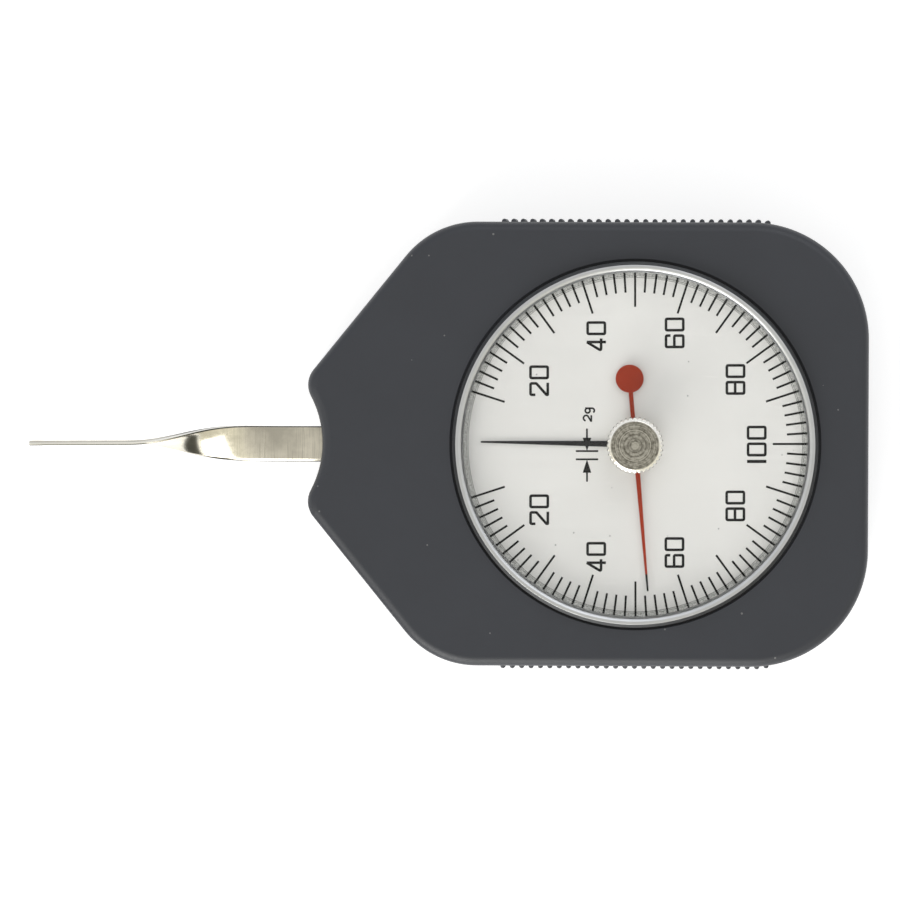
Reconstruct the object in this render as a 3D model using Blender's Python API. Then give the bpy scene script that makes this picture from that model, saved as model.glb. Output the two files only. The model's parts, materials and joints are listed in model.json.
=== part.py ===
"""Dial tension gauge with a sprung feeler, a geared movement, a turning bezel and a drag pointer.

The origin is on the dial's axis, at the flat back of the case. +X runs from the feeler's tip
to the square end of the case, +Y across the case and +Z out of the dial. Lengths are in metres.
"""

import math

import bmesh
import bpy
from mathutils import Vector

MM = 0.001

# Clearances
SEAT_GAP = 0.25 * MM
PRESS_GAP = 0.06 * MM
RUN_GAP = 0.05 * MM
BOLT_GAP = 0.15 * MM
SWEEP_GAP = 0.3 * MM
OVERRUN = 1.0 * MM

# Travel
FEELER_TRAVEL = math.radians(15.5)
MAIN_POINTER_REST = math.radians(179.35)
DRAG_POINTER_REST = math.radians(-84.9)

# Bezel and what it holds, from the dial's view outwards
LIP_RADIUS = 24.0 * MM
LIP_SLOPE_WIDTH = 0.5 * MM
LIP_THICKNESS = 1.05 * MM
LIP_SLOPE_DROP = 0.65 * MM
RIM_WIDTH = 0.6 * MM
RIM_SHOULDER = 0.4 * MM
SEAT_WIDTH = 0.45 * MM
SKIRT_WALL = 0.55 * MM
BEZEL_RISE = 1.6 * MM
BEZEL_EDGE_GAP = 0.35 * MM

# Case shells
SIDE_LAND = 5.15 * MM
END_LAND = 6.65 * MM
CASE_THICKNESS = 17.0 * MM
CASE_WALL = 2.0 * MM
FRONT_PLATE = 2.0 * MM
REAR_FLOOR = 1.8 * MM
BEZEL_SEAT_DEPTH = 1.1 * MM
LEDGE_GAP = 0.1 * MM
CORNER_RADIUS = 16.3 * MM
SHOULDER_RADIUS = 12.9 * MM
NOSE_RADIUS = 3.4 * MM
NOSE_WALL = 0.8 * MM
NECK_RADIUS = 14.0 * MM
NOSE_ANGLE = math.radians(51.07)
FRONT_FILLET = 1.1 * MM
REAR_FILLET = 0.9 * MM
LIP_TONGUE_HEIGHT = 0.95 * MM
LIP_TONGUE_THICKNESS = 0.9 * MM

# Grip ribs on the long sides
RIB_COUNT = 29
RIB_PITCH = 1.314 * MM
RIB_WIDTH = 0.78 * MM
RIB_CREST_WIDTH = 0.38 * MM
RIB_HEIGHT = 0.45 * MM
RIB_END_LAND = 1.1 * MM
RIB_ROOT = 0.3 * MM

# Case screws
SCREW_INSET = 4.4 * MM
SHOULDER_SCREW_SHARE = 0.75
CASE_SCREW_HEAD_RADIUS = 2.2 * MM
CASE_SCREW_HEAD_HEIGHT = 1.4 * MM
CASE_SCREW_RADIUS = 1.25 * MM
CASE_SCREW_LENGTH = 10.5 * MM
CASE_SCREW_RECESS = 0.55 * MM
BOSS_WALL = 0.75 * MM
FRONT_BOSS_WALL = 1.4 * MM
HEAD_CROWN_SHARE = 0.85
DRIVE_SLOT_SHARE = 0.16
DRIVE_DEPTH_SHARE = 0.5

# Gear train
CENTRE_DISTANCE = 30.0 * MM
PINION_TEETH = 12
SECTOR_TEETH = 144
SECTOR_TEETH_CUT = 16
PRESSURE_ANGLE = math.radians(20.0)
BACKLASH = 0.05 * MM
PINION_ADDENDUM_SHARE = 1.0
SECTOR_ADDENDUM_SHARE = 0.65
ROOT_GAP = 0.09 * MM
SECTOR_THICKNESS = 0.8 * MM
PINION_LENGTH = 2.6 * MM
PINION_LIFT = 0.4 * MM
SECTOR_LIFT = 1.3 * MM
SECTOR_HUB_RADIUS = 3.4 * MM
SECTOR_WINDOW_INNER_SHARE = 0.33
SECTOR_WINDOW_OUTER_SHARE = 0.84
SECTOR_WINDOW_ANGLE_SHARE = 0.62

# Feeler
FEELER_WIDTH = 4.8 * MM
FEELER_THICKNESS = 0.56 * MM
FEELER_TIP_THICKNESS = 0.64 * MM
FEELER_TIP_LENGTH = 2.2 * MM
FEELER_STRIP_LENGTH = 14.0 * MM
FEELER_TWIST_LENGTH = 20.0 * MM
FEELER_FLAT_LENGTH = 18.5 * MM
FEELER_ROOT_GAP = 2.7 * MM
FEELER_SIDE_OFFSET = -0.3 * MM
FEELER_BEND = 0.3 * MM
FEELER_TWIST_STEPS = 18
CARRIER_THICKNESS = 1.0 * MM
CARRIER_LENGTH = 10.2 * MM
CARRIER_HUB_RADIUS = 3.2 * MM
RIVET_RADIUS = 0.7 * MM
RIVET_HEAD_RADIUS = 1.25 * MM
RIVET_HEAD_HEIGHT = 0.4 * MM
RIVET_EDGE = 2.0 * MM
SLOT_HEIGHT = 2.0 * MM
PIVOT_TO_NECK = 13.7 * MM

# Movement plates, pillars and posts
PLATE_THICKNESS = 1.0 * MM
PLATE_CORNER = 5.0 * MM
MOVEMENT_HEADROOM = 0.9 * MM
POST_HEIGHT = 1.15 * MM
POST_RADIUS = 2.6 * MM
PILLAR_RADIUS = 1.6 * MM
PILLAR_SPIGOT_RADIUS = 0.9 * MM
NOSE_PILLAR_BACK = 2.0 * MM
NOSE_PILLAR_SIDE = 11.0 * MM
TAIL_PILLAR_X = 16.0 * MM
SMALL_SCREW_RADIUS = 0.7 * MM
SMALL_HEAD_RADIUS = 1.45 * MM
SMALL_HEAD_HEIGHT = 0.6 * MM
SMALL_SCREW_LENGTH = 2.6 * MM
MOVEMENT_SCREW_LENGTH = 2.1 * MM
MOVEMENT_SCREW_FORWARD = 10.0 * MM
MOVEMENT_SCREW_SIDE = 9.5 * MM
SCREW_SPACING = 1.0 * MM
STOP_PIN_RADIUS = 0.8 * MM
STOP_PIN_REACH_SHARE = 0.62
STOP_PIN_RISE = 0.6 * MM

# Arbors and bushes
CENTRE_ARBOR_RADIUS = 0.6 * MM
LEVER_PIVOT_RADIUS = 1.0 * MM
LEVER_ARBOR_RADIUS = 1.5 * MM
LEVER_ARBOR_RISE = 0.4 * MM
ARBOR_END_PLAY = 0.1 * MM
BUSH_WALL = 0.6 * MM
BUSH_FLANGE = 0.6 * MM
BUSH_FLANGE_THICKNESS = 0.3 * MM

# Return spring
SPRING_STRIP = 0.24 * MM
SPRING_WIDTH = 1.5 * MM
SPRING_PITCH = 0.75 * MM
SPRING_TURNS = 7.75
SPRING_STEPS_PER_TURN = 12
COLLET_WALL = 1.05 * MM
SPRING_INNER_GAP = 0.25 * MM
STUD_RADIUS = 0.7 * MM

# Dial, pointers and crystal
DIAL_THICKNESS = 0.5 * MM
DIAL_HOLE_RADIUS = 1.6 * MM
SPACER_HEIGHT = 1.9 * MM
RETAINER_THICKNESS = 0.4 * MM
RETAINER_WIDTH = 1.1 * MM
RETAINER_OPENING = math.radians(24.0)
CLIP_THICKNESS = 0.4 * MM
CLIP_OPENING = math.radians(18.0)
CLIP_OVERLAP = 0.45 * MM
CLIP_GROOVE_DEPTH = 0.25 * MM
CRYSTAL_DROP = 0.4 * MM
CRYSTAL_FLANGE = 0.6 * MM
CRYSTAL_CHAMFER = 0.6 * MM
CRYSTAL_CHAMFER_DROP = 0.45 * MM
POINTER_THICKNESS = 0.15 * MM
POINTER_LIFT = 0.3 * MM
HUB_LIFT = 0.15 * MM
HUB_WALL = 0.7 * MM
HUB_FLANGE = 0.45 * MM
HUB_TOP = 0.2 * MM
MAIN_POINTER_LENGTH = 21.6 * MM
MAIN_POINTER_TIP_WIDTH = 0.24 * MM
MAIN_POINTER_ROOT_WIDTH = 0.9 * MM
MAIN_POINTER_TAIL = 3.1 * MM
MAIN_POINTER_TAIL_WIDTH = 1.3 * MM
POINTER_EYE_WALL = 0.6 * MM
CARRIER_PIN_RADIUS = 0.22 * MM
CARRIER_PIN_REACH = 2.6 * MM
DRAG_THICKNESS = 0.18 * MM
DRAG_POINTER_LENGTH = 20.6 * MM
DRAG_POINTER_TIP_WIDTH = 0.26 * MM
DRAG_POINTER_ROOT_WIDTH = 0.72 * MM
DRAG_STEM_WIDTH = 0.6 * MM
DRAG_DISC_DISTANCE = 9.2 * MM
DRAG_DISC_RADIUS = 1.95 * MM

# Knob and its bush
DRAG_ARBOR_RADIUS = 0.9 * MM
DRAG_ARBOR_GRIP = 2.2 * MM
CRYSTAL_BUSH_WALL = 0.95 * MM
CRYSTAL_BUSH_FLANGE = 1.0 * MM
CRYSTAL_BUSH_FLANGE_THICKNESS = 0.4 * MM
WASHER_RADIUS = 2.7 * MM
WASHER_THICKNESS = 0.25 * MM
KNOB_RADIUS = 3.85 * MM
KNOB_TOP_RADIUS = 3.4 * MM
KNOB_HEIGHT = 3.5 * MM
KNOB_CHAMFER = 0.5 * MM
KNOB_FLUTES = 36
KNOB_FLUTE_DEPTH = 0.16 * MM

# Facets of round shapes
RING_SIDES = 48
SMALL_SIDES = 16
SCREW_SIDES = 12
CORNER_STEPS = 8
SHOULDER_STEPS = 5
NOSE_STEPS = 4
NECK_STEPS = 8
FILLET_STEPS = 3
FLANK_STEPS = 3

# Radii worked out from the bezel outwards
rim_inner = LIP_RADIUS + LIP_SLOPE_WIDTH
rim_outer = rim_inner + RIM_WIDTH
bezel_radius = rim_outer + RIM_SHOULDER
skirt_inner = LIP_RADIUS + SEAT_WIDTH
skirt_outer = skirt_inner + SKIRT_WALL
held_radius = skirt_inner - PRESS_GAP
case_bore = bezel_radius + BEZEL_EDGE_GAP
ledge_radius = skirt_outer + LEDGE_GAP
case_half_width = case_bore + SIDE_LAND
case_right = case_bore + END_LAND

# Heights worked down from the front of the case
case_ceiling = CASE_THICKNESS - FRONT_PLATE
bezel_seat = CASE_THICKNESS - BEZEL_SEAT_DEPTH
bezel_top = CASE_THICKNESS + BEZEL_RISE
lip_under = bezel_top - LIP_THICKNESS
crystal_top = bezel_top - CRYSTAL_DROP
crystal_under = lip_under - SEAT_GAP - CRYSTAL_FLANGE
spacer_top = crystal_under - SEAT_GAP
spacer_bottom = spacer_top - SPACER_HEIGHT
dial_top = spacer_bottom - SEAT_GAP
dial_under = dial_top - DIAL_THICKNESS
retainer_top = dial_under - SEAT_GAP
skirt_bottom = retainer_top - RETAINER_THICKNESS - SEAT_GAP
clip_top = case_ceiling - SEAT_GAP
feeler_plane = CASE_THICKNESS / 2

# Heights worked up from the back of the case
post_top = REAR_FLOOR + POST_HEIGHT
lower_plate_bottom = post_top + SEAT_GAP
lower_plate_top = lower_plate_bottom + PLATE_THICKNESS
upper_plate_top = skirt_bottom - MOVEMENT_HEADROOM
upper_plate_bottom = upper_plate_top - PLATE_THICKNESS
sector_bottom = lower_plate_top + SECTOR_LIFT
sector_top = sector_bottom + SECTOR_THICKNESS
pinion_bottom = lower_plate_top + PINION_LIFT
pinion_top = pinion_bottom + PINION_LENGTH
collet_bottom = pinion_top + SEAT_GAP
collet_top = collet_bottom + SPRING_WIDTH
carrier_top = feeler_plane - FEELER_THICKNESS / 2 - SEAT_GAP
carrier_bottom = carrier_top - CARRIER_THICKNESS

# Gear sizes
gear_module = 2 * CENTRE_DISTANCE / (SECTOR_TEETH + PINION_TEETH)
pinion_pitch_radius = gear_module * PINION_TEETH / 2
sector_pitch_radius = gear_module * SECTOR_TEETH / 2
pinion_tip_radius = pinion_pitch_radius + PINION_ADDENDUM_SHARE * gear_module
sector_tip_radius = sector_pitch_radius + SECTOR_ADDENDUM_SHARE * gear_module
pinion_root_radius = CENTRE_DISTANCE - sector_tip_radius - ROOT_GAP
sector_root_radius = CENTRE_DISTANCE - pinion_tip_radius - ROOT_GAP
sector_half_angle = math.pi * SECTOR_TEETH_CUT / SECTOR_TEETH

# The lever's pivot and the feeler's run towards -X
pivot_x = -CENTRE_DISTANCE
neck_x = pivot_x - PIVOT_TO_NECK
feeler_root_x = -FEELER_ROOT_GAP
feeler_flat_end = feeler_root_x - FEELER_FLAT_LENGTH
feeler_twist_end = feeler_flat_end - FEELER_TWIST_LENGTH
feeler_tip_x = feeler_twist_end - FEELER_STRIP_LENGTH
feeler_sweep = PIVOT_TO_NECK * math.sin(FEELER_TRAVEL) + FEELER_WIDTH / 2 / math.cos(FEELER_TRAVEL)
neck_centre = Vector((neck_x - NECK_RADIUS, 0.0))
slot_half_width = (
    feeler_sweep + NOSE_RADIUS * math.tan(FEELER_TRAVEL) + abs(FEELER_SIDE_OFFSET) + SWEEP_GAP
)
nose_half_width = slot_half_width + NOSE_WALL

# Bore radii of running and pressed pieces
centre_bore = CENTRE_ARBOR_RADIUS + RUN_GAP
lever_bore = LEVER_PIVOT_RADIUS + RUN_GAP
collet_radius = CENTRE_ARBOR_RADIUS + COLLET_WALL
spring_inner_radius = collet_radius + SPRING_INNER_GAP + SPRING_STRIP / 2
spring_outer_radius = spring_inner_radius + SPRING_PITCH * SPRING_TURNS
hub_radius = CENTRE_ARBOR_RADIUS + HUB_WALL
drag_boss_radius = DRAG_ARBOR_RADIUS + HUB_WALL
crystal_bush_bore = DRAG_ARBOR_RADIUS + RUN_GAP
crystal_bush_radius = DRAG_ARBOR_RADIUS + CRYSTAL_BUSH_WALL
crystal_hole_radius = crystal_bush_radius + PRESS_GAP

# Heights of the pointers and the knob
main_pointer_bottom = dial_top + POINTER_LIFT
main_pointer_top = main_pointer_bottom + POINTER_THICKNESS
hub_bottom = dial_top + HUB_LIFT
hub_top = main_pointer_top + RUN_GAP + HUB_TOP
bush_flange_top = crystal_under - SEAT_GAP
bush_flange_bottom = bush_flange_top - CRYSTAL_BUSH_FLANGE_THICKNESS
drag_boss_top = bush_flange_bottom - SEAT_GAP
drag_pointer_top = drag_boss_top - HUB_TOP - RUN_GAP
drag_pointer_bottom = drag_pointer_top - DRAG_THICKNESS
drag_boss_bottom = drag_pointer_bottom - HUB_TOP
bush_top = crystal_top + RUN_GAP
washer_bottom = bush_top + SEAT_GAP
washer_top = washer_bottom + WASHER_THICKNESS
knob_bottom = washer_top + SEAT_GAP
knob_top = knob_bottom + KNOB_HEIGHT

# Colours seen on the gauge
CASE_GREY = (0.055, 0.057, 0.062)
STEEL = (0.62, 0.61, 0.58)
SCREW_STEEL = (0.42, 0.42, 0.43)
BRASS = (0.72, 0.55, 0.28)
SPRING_BLUE = (0.20, 0.22, 0.30)
DIAL_SILVER = (0.70, 0.71, 0.71)
BLACK = (0.02, 0.02, 0.02)
RED = (0.42, 0.05, 0.03)
CLEAR = (0.92, 0.94, 0.95)


def clear_scene():
    for item in list(bpy.data.objects):
        bpy.data.objects.remove(item, do_unlink=True)


def make_material(name, colour, roughness, metallic, alpha=1.0):
    material = bpy.data.materials.new(name)
    material.use_nodes = True
    shader = material.node_tree.nodes["Principled BSDF"]
    shader.inputs["Base Color"].default_value = (*colour, 1.0)
    shader.inputs["Roughness"].default_value = roughness
    shader.inputs["Metallic"].default_value = metallic
    shader.inputs["Alpha"].default_value = alpha
    return material


def make_mesh(name, bm):
    """Closes a bmesh into a mesh with its faces pointing out and round faces smooth."""
    bmesh.ops.recalc_face_normals(bm, faces=bm.faces)
    mesh = bpy.data.meshes.new(name)
    bm.to_mesh(mesh)
    bm.free()
    mesh.shade_smooth()
    mesh.set_sharp_from_angle(angle=math.radians(32.0))
    return mesh


def loft(name, rings):
    """A solid skinned over rings of equally many points, capped at both ends."""
    bm = bmesh.new()
    rows = [[bm.verts.new(point) for point in ring] for ring in rings]
    for lower, upper in zip(rows, rows[1:]):
        for i in range(len(lower)):
            j = (i + 1) % len(lower)
            bm.faces.new((lower[i], lower[j], upper[j], upper[i]))
    bm.faces.new(list(reversed(rows[0])))
    bm.faces.new(rows[-1])
    return make_mesh(name, bm)


def prism(name, outline, bottom, top):
    rings = [[(x, y, z) for x, y in outline] for z in (bottom, top)]
    return loft(name, rings)


def turned(name, profile, sides=RING_SIDES, centre=(0.0, 0.0)):
    """A solid turned about an upright axis from a closed profile of (radius, height) points."""
    bm = bmesh.new()
    columns = []
    for radius, height in profile:
        if radius == 0:
            pole = bm.verts.new((centre[0], centre[1], height))
            columns.append([pole] * sides)
            continue
        column = []
        for i in range(sides):
            angle = math.tau * i / sides
            x = centre[0] + radius * math.cos(angle)
            y = centre[1] + radius * math.sin(angle)
            column.append(bm.verts.new((x, y, height)))
        columns.append(column)
    for k, column in enumerate(columns):
        following = columns[(k + 1) % len(columns)]
        for i in range(sides):
            j = (i + 1) % sides
            corners = []
            for corner in (column[i], column[j], following[j], following[i]):
                if corner not in corners:
                    corners.append(corner)
            if len(corners) > 2:
                bm.faces.new(corners)
    return make_mesh(name, bm)


def rod(name, radius, bottom, top, sides=SMALL_SIDES, centre=(0.0, 0.0)):
    return turned(name, [(0, bottom), (radius, bottom), (radius, top), (0, top)], sides, centre)


def tube(name, inner, outer, bottom, top, sides=RING_SIDES):
    return turned(name, [(inner, bottom), (outer, bottom), (outer, top), (inner, top)], sides)


def open_ring(name, inner, outer, bottom, top, opening):
    """A flat ring with a gap of the given angle centred on +X."""
    rings = []
    for i in range(RING_SIDES + 1):
        angle = opening / 2 + (math.tau - opening) * i / RING_SIDES
        across = Vector((math.cos(angle), math.sin(angle), 0.0))
        corners = ((inner, bottom), (outer, bottom), (outer, top), (inner, top))
        rings.append([across * radius + Vector((0, 0, height)) for radius, height in corners])
    return loft(name, rings)


def arc(centre, radius, start, end, steps):
    points = []
    for i in range(steps + 1):
        angle = start + (end - start) * i / steps
        x = centre[0] + radius * math.cos(angle)
        y = centre[1] + radius * math.sin(angle)
        points.append((x, y))
    return points


def rounded_hull(corners, radius):
    """The outline of a convex polygon of corners, counterclockwise, grown by a radius."""
    outline = []
    for i, corner in enumerate(corners):
        before = Vector(corner) - Vector(corners[i - 1])
        after = Vector(corners[(i + 1) % len(corners)]) - Vector(corner)
        start = math.atan2(before.y, before.x) - math.pi / 2
        turn = (math.atan2(after.y, after.x) - math.pi / 2 - start) % math.tau
        outline += arc(corner, radius, start, start + turn, SHOULDER_STEPS)
    return outline


def add(name, mesh, colour, roughness, metallic, parent=None, alpha=1.0):
    """Puts a mesh in the scene as a named piece with a material of its own."""
    piece = bpy.data.objects.new(name, mesh)
    bpy.context.scene.collection.objects.link(piece)
    mesh.materials.clear()
    mesh.materials.append(make_material(name, colour, roughness, metallic, alpha))
    for polygon in mesh.polygons:
        polygon.material_index = 0
    piece.parent = parent
    return piece


def axis_empty(name, x, parent=None):
    """An empty on a joint's axis, which carries the pieces that turn about it."""
    empty = bpy.data.objects.new(name, None)
    bpy.context.scene.collection.objects.link(empty)
    empty.location = (x, 0.0, 0.0)
    empty.parent = parent
    return empty


def combine(name, base, tools, operation):
    """The mesh left when tool meshes are cut from a base, or joined to it, one after another."""
    target = bpy.data.objects.new(name, base)
    bpy.context.scene.collection.objects.link(target)
    for tool_mesh in tools:
        tool = bpy.data.objects.new(name + "_tool", tool_mesh)
        bpy.context.scene.collection.objects.link(tool)
        modifier = target.modifiers.new(operation, "BOOLEAN")
        modifier.operation = operation
        modifier.object = tool
        evaluated = target.evaluated_get(bpy.context.evaluated_depsgraph_get())
        result = bpy.data.meshes.new_from_object(evaluated)
        target.modifiers.clear()
        target.data = result
        bpy.data.objects.remove(tool, do_unlink=True)
    mesh = target.data
    bpy.data.objects.remove(target, do_unlink=True)
    mesh.shade_smooth()
    mesh.set_sharp_from_angle(angle=math.radians(32.0))
    return mesh


def cut(name, base, *tools):
    return combine(name, base, tools, "DIFFERENCE")


def join(name, base, *tools):
    return combine(name, base, tools, "UNION")


def case_geometry():
    """Centres of the arcs of the case's outline, which are the same at every inset."""
    corner_centre = Vector((case_right - CORNER_RADIUS, case_half_width - CORNER_RADIUS))
    slope_normal = Vector((-math.sin(NOSE_ANGLE), math.cos(NOSE_ANGLE)))
    reach = math.sqrt(NECK_RADIUS**2 - nose_half_width**2)
    nose_corner = Vector((neck_centre.x + reach, nose_half_width))
    slope_distance = slope_normal.dot(nose_corner)
    shoulder_y = case_half_width - SHOULDER_RADIUS
    shoulder_x = (slope_distance - SHOULDER_RADIUS - slope_normal.y * shoulder_y) / slope_normal.x
    shoulder_centre = Vector((shoulder_x, shoulder_y))
    # The nose arc touches the slope from inside and the neck arc from outside
    slope_run = Vector((slope_normal.y, -slope_normal.x))
    foot = slope_normal * (slope_distance - NOSE_RADIUS)
    offset = foot - neck_centre
    along = offset.dot(slope_run)
    square = along**2 - offset.length_squared + (NECK_RADIUS + NOSE_RADIUS) ** 2
    nose_centre = foot + slope_run * (math.sqrt(square) - along)
    return corner_centre, shoulder_centre, nose_centre


def case_outline(inset):
    """Points of the case's outline moved in by an inset, counterclockwise from the front."""
    corner_centre, shoulder_centre, nose_centre = case_geometry()
    slope_angle = math.pi / 2 + NOSE_ANGLE
    to_neck = neck_centre - nose_centre
    neck_angle = math.atan2(-to_neck.y, -to_neck.x)
    upper = arc(corner_centre, CORNER_RADIUS - inset, 0.0, math.pi / 2, CORNER_STEPS)
    upper += arc(
        shoulder_centre, SHOULDER_RADIUS - inset, math.pi / 2, slope_angle, SHOULDER_STEPS
    )
    upper += arc(nose_centre, NOSE_RADIUS - inset, slope_angle, math.pi + neck_angle, NOSE_STEPS)
    neck = arc(neck_centre, NECK_RADIUS + inset, neck_angle, -neck_angle, NECK_STEPS)
    lower = [(x, -y) for x, y in reversed(upper)]
    return upper + neck[1:-1] + lower


def case_ring(inset, height):
    return [(x, y, height) for x, y in case_outline(inset)]


def fillet_rings(radius, face, inward):
    """Rings of a rounded edge, from the flat face to the wall, with inward +1 or -1 along Z."""
    rings = []
    for i in range(FILLET_STEPS + 1):
        angle = math.pi / 2 * i / FILLET_STEPS
        inset = radius * (1 - math.sin(angle))
        height = face + inward * radius * (1 - math.cos(angle))
        rings.append(case_ring(inset, height))
    return rings


def case_screw_places():
    corner_centre, shoulder_centre, _ = case_geometry()
    shoulder_turn = math.pi / 2 + NOSE_ANGLE * SHOULDER_SCREW_SHARE
    places = []
    for centre, radius, angle in (
        (corner_centre, CORNER_RADIUS, math.pi / 4),
        (shoulder_centre, SHOULDER_RADIUS, shoulder_turn),
    ):
        reach = radius - SCREW_INSET
        x = centre.x + reach * math.cos(angle)
        y = centre.y + reach * math.sin(angle)
        places += [(x, y), (x, -y)]
    return places


def wall_reach(x):
    """Half the case's width at x, along the long wall and onto the arcs that end it."""
    corner_centre, shoulder_centre, _ = case_geometry()
    if x > corner_centre.x:
        return corner_centre.y + math.sqrt(CORNER_RADIUS**2 - (x - corner_centre.x) ** 2)
    if x < shoulder_centre.x:
        return shoulder_centre.y + math.sqrt(SHOULDER_RADIUS**2 - (x - shoulder_centre.x) ** 2)
    return case_half_width


def rib_mesh(bottom, top):
    """All grip ribs of one shell as upright bars with narrow crests, sunk into both long walls."""
    bm = bmesh.new()
    for side in (1, -1):
        section = (
            (-RIB_WIDTH / 2, -RIB_ROOT),
            (-RIB_CREST_WIDTH / 2, RIB_HEIGHT),
            (RIB_CREST_WIDTH / 2, RIB_HEIGHT),
            (RIB_WIDTH / 2, -RIB_ROOT),
        )
        for i in range(RIB_COUNT):
            middle = RIB_PITCH * (i - (RIB_COUNT - 1) / 2)
            wall = wall_reach(middle)
            rows = []
            for height in (bottom, top):
                rows.append(
                    [bm.verts.new((middle + x, side * (wall + y), height)) for x, y in section]
                )
            for k in range(len(section)):
                following = (k + 1) % len(section)
                bm.faces.new((rows[0][k], rows[0][following], rows[1][following], rows[1][k]))
            bm.faces.new(list(reversed(rows[0])))
            bm.faces.new(rows[1])
    return make_mesh("ribs", bm)


def slot_mesh():
    """The space that the feeler's blade sweeps through the nose of the case."""
    outside = neck_x - NECK_RADIUS / 2
    inside = neck_x + CASE_WALL + OVERRUN
    corners = [
        (outside, -slot_half_width),
        (inside, -slot_half_width),
        (inside, slot_half_width),
        (outside, slot_half_width),
    ]
    half = SLOT_HEIGHT / 2
    return prism("slot", corners, feeler_plane - half, feeler_plane + half)


tongue_top = feeler_plane - SEAT_GAP / 2 + LIP_TONGUE_HEIGHT
rear_rim = feeler_plane - SEAT_GAP / 2
front_rim = feeler_plane + SEAT_GAP / 2


def build_front_case():
    tongue_inset = CASE_WALL - LIP_TONGUE_THICKNESS - SEAT_GAP
    rings = fillet_rings(FRONT_FILLET, CASE_THICKNESS, -1)
    rings += [
        case_ring(0.0, front_rim),
        case_ring(tongue_inset, front_rim),
        case_ring(tongue_inset, tongue_top + SEAT_GAP),
        case_ring(CASE_WALL, tongue_top + SEAT_GAP),
        case_ring(CASE_WALL, case_ceiling),
    ]
    shell = loft("front_case", rings)
    boss_radius = CASE_SCREW_RADIUS + FRONT_BOSS_WALL
    bosses = [
        rod("boss", boss_radius, tongue_top + SEAT_GAP, case_ceiling + OVERRUN, centre=place)
        for place in case_screw_places()
    ]
    ribs = rib_mesh(front_rim + RIB_END_LAND / 2, CASE_THICKNESS - FRONT_FILLET - RIB_END_LAND)
    shell = join("front_case", shell, *bosses, ribs)
    bore = turned(
        "bore",
        [
            (0, case_ceiling - OVERRUN),
            (ledge_radius, case_ceiling - OVERRUN),
            (ledge_radius, bezel_seat),
            (case_bore, bezel_seat),
            (case_bore, CASE_THICKNESS + OVERRUN),
            (0, CASE_THICKNESS + OVERRUN),
        ],
    )
    pilots = [
        rod(
            "pilot",
            CASE_SCREW_RADIUS + PRESS_GAP,
            tongue_top - OVERRUN,
            case_screw_end() + SEAT_GAP,
            SCREW_SIDES,
            place,
        )
        for place in case_screw_places()
    ]
    shell = cut("front_case", shell, bore, slot_mesh(), *pilots)
    add("front_case", shell, CASE_GREY, 0.55, 0.0)


def case_screw_end():
    return CASE_SCREW_RECESS + CASE_SCREW_HEAD_HEIGHT + CASE_SCREW_LENGTH


def build_rear_cover():
    tongue_inset = CASE_WALL - LIP_TONGUE_THICKNESS
    rings = fillet_rings(REAR_FILLET, 0.0, 1)
    rings += [
        case_ring(0.0, rear_rim),
        case_ring(tongue_inset, rear_rim),
        case_ring(tongue_inset, tongue_top),
        case_ring(CASE_WALL, tongue_top),
        case_ring(CASE_WALL, REAR_FLOOR),
    ]
    shell = loft("rear_cover", rings)
    head_bore = CASE_SCREW_HEAD_RADIUS + BOLT_GAP
    bosses = [
        rod("boss", head_bore + BOSS_WALL, REAR_FLOOR / 2, tongue_top, centre=place)
        for place in case_screw_places()
    ]
    posts = [
        rod("post", POST_RADIUS, REAR_FLOOR / 2, post_top, SMALL_SIDES, place)
        for place in movement_screw_places()
    ]
    ribs = rib_mesh(REAR_FILLET + RIB_END_LAND, rear_rim - RIB_END_LAND / 2)
    shell = join("rear_cover", shell, *bosses, *posts, ribs)
    head_end = CASE_SCREW_RECESS + CASE_SCREW_HEAD_HEIGHT + SEAT_GAP
    holes = []
    for place in case_screw_places():
        profile = [
            (0, -OVERRUN),
            (head_bore, -OVERRUN),
            (head_bore, head_end),
            (CASE_SCREW_RADIUS + BOLT_GAP, head_end),
            (CASE_SCREW_RADIUS + BOLT_GAP, tongue_top + OVERRUN),
            (0, tongue_top + OVERRUN),
        ]
        holes.append(turned("hole", profile, SMALL_SIDES, place))
    for place in movement_screw_places():
        pilot_end = lower_plate_top + SEAT_GAP - MOVEMENT_SCREW_LENGTH - SEAT_GAP
        pilot_radius = SMALL_SCREW_RADIUS + PRESS_GAP
        holes.append(
            rod("pilot", pilot_radius, pilot_end, post_top + OVERRUN, SCREW_SIDES, place)
        )
    shell = cut("rear_cover", shell, slot_mesh(), *holes)
    add("rear_cover", shell, CASE_GREY, 0.55, 0.0)


def pillar_places():
    side = NOSE_PILLAR_SIDE
    x = pivot_x - NOSE_PILLAR_BACK
    return [(x, side), (x, -side), (TAIL_PILLAR_X, 0.0)]


def movement_screw_places():
    x = pivot_x + MOVEMENT_SCREW_FORWARD
    tail_x = TAIL_PILLAR_X - PILLAR_RADIUS - SMALL_HEAD_RADIUS - SCREW_SPACING
    side = MOVEMENT_SCREW_SIDE
    return [(x, side), (x, -side), (tail_x, 0.0)]


def stop_pin_places():
    """Places where the sector's straight edges meet the pins at the end of the travel."""
    reach = sector_pitch_radius * STOP_PIN_REACH_SHARE
    beside = math.asin((STOP_PIN_RADIUS + SEAT_GAP) / reach)
    angle = sector_half_angle + FEELER_TRAVEL + beside
    x = pivot_x + reach * math.cos(angle)
    y = reach * math.sin(angle)
    return [(x, y), (x, -y)]


def stud_place():
    reach = spring_outer_radius + SPRING_STRIP / 2 + SEAT_GAP + STUD_RADIUS
    angle = math.tau * (SPRING_TURNS % 1)
    return (reach * math.cos(angle), reach * math.sin(angle))


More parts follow.
